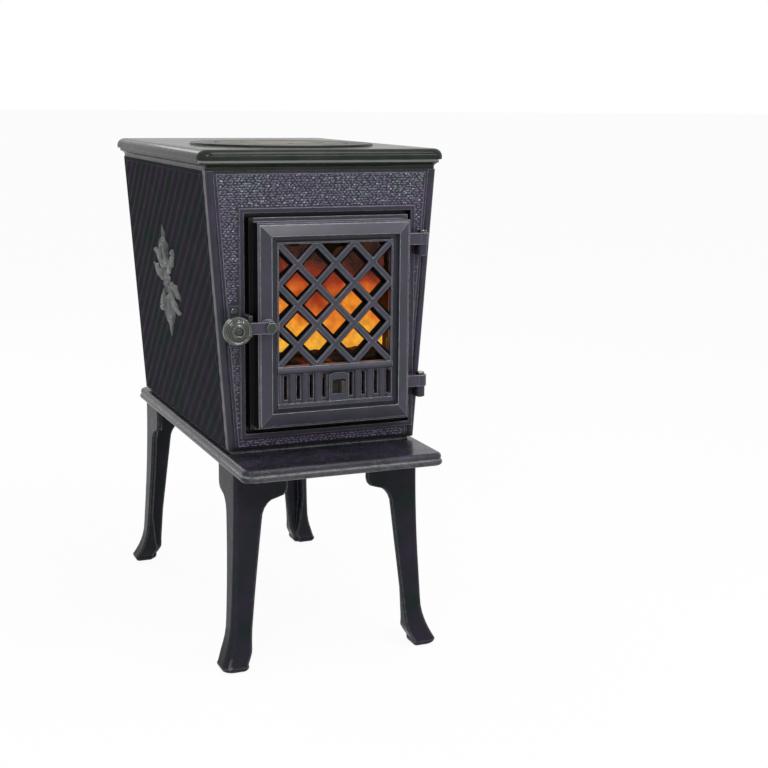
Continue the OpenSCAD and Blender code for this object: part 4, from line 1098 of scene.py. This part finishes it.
def curtain_faces():
    """Quads of the front and the back, then the strips that close the foot, the tips and both ends."""
    faces = []
    wide = ACROSS + 1
    behind = (UP + 1) * wide  # from a front point's number to that of the back point behind it
    for i in range(UP):
        for j in range(ACROSS):
            a = i * wide + j
            faces.append((a, a + 1, a + wide + 1, a + wide))
            faces.append((behind + a, behind + a + wide, behind + a + wide + 1, behind + a + 1))
    for j in range(ACROSS):
        low, high = j, UP * wide + j
        faces.append((low, behind + low, behind + low + 1, low + 1))
        faces.append((high, high + 1, behind + high + 1, behind + high))
    for i in range(UP):
        near, far = i * wide, i * wide + ACROSS
        faces.append((near, near + wide, behind + near + wide, behind + near))
        faces.append((far, behind + far, behind + far + wide, far + wide))
    return faces


# %% Flames
CURTAINS = {  # seed, left, right, depth, foot, height
    "flames": (2, -101, 101, 96, 358, 177),
    "rear_flames": (9, -90, 90, 116, 358, 164),
}
for name, shape in CURTAINS.items():
    new_piece(name, curtain_points(*shape), curtain_faces(), flame, "stove")

# %% [markdown]
# ## Ribs behind the lattice
# Behind each bar of the lattice lies a black rib, a little wider than the bar. It is painted shade for the
# bars' shaded sides, and soot. Seen from the side, the ribs frame every opening with a dark edge. Wider
# bars in the solid would narrow the openings in front as well, so each rib is a thin long box of its own,
# cut to the window by its ends.

# %% Soot and painted shade
soot_black, tree, shader = new_finish("soot_black", Roughness=0.9, Specular_IOR_Level=0.1)
dust = noise_of(tree, own_place(tree), 200, 3)
tree.links.new(blend_colours(tree, dust, SOOT_AND_SHADE, (0.006, 0.005, 0.005)), shader.inputs["Base Color"])
print(f"{soot_black.name}: {len(tree.nodes)} nodes")

# %% Lattice ribs
WINDOW_LEFT, WINDOW_RIGHT, WINDOW_FOOT, WINDOW_TOP = -68.0, 80.0, 384.5, 535.5
SQUARES = 3  # openings across and up
RIB_HALF = 7.8
RIB_DEPTH = (-20.2, -18.3)
LEAST_RIB = 1  # a shorter piece in a corner is left out

column = (WINDOW_RIGHT - WINDOW_LEFT) / SQUARES
steep = (WINDOW_TOP - WINDOW_FOOT) / SQUARES / column
half_high = RIB_HALF * math.hypot(1, steep)  # half of a rib, measured upright


def add_rib(points, faces, start, rise):
    """A rib whose middle line goes through (start, WINDOW_FOOT) and climbs by rise * steep."""
    ends = sorted((start, start + rise * (WINDOW_TOP - WINDOW_FOOT) / steep))
    left, right = max(ends[0], WINDOW_LEFT), min(ends[1], WINDOW_RIGHT)
    if right - left < LEAST_RIB:
        return
    first = len(points)
    for depth in RIB_DEPTH:
        for x in (left, right):
            middle = WINDOW_FOOT + rise * steep * (x - start)
            for side in (-1, 1):
                z = min(WINDOW_TOP, max(WINDOW_FOOT, middle + side * half_high))
                points.append(at(x, depth, z))
    for corners in ((0, 2, 3, 1), (4, 5, 7, 6), (0, 1, 5, 4), (2, 6, 7, 3), (0, 4, 6, 2), (1, 3, 7, 5)):
        faces.append([first + c for c in corners])


# Black ribs: painted shade on the bars' sides, with soot.
points, faces = [], []
for rise in (-1, 1):
    for k in range(-SQUARES, 2 * SQUARES + 1):
        add_rib(points, faces, WINDOW_LEFT + k * column, rise)
new_piece("lattice_ribs", points, faces, soot_black, "door", smooth=False)
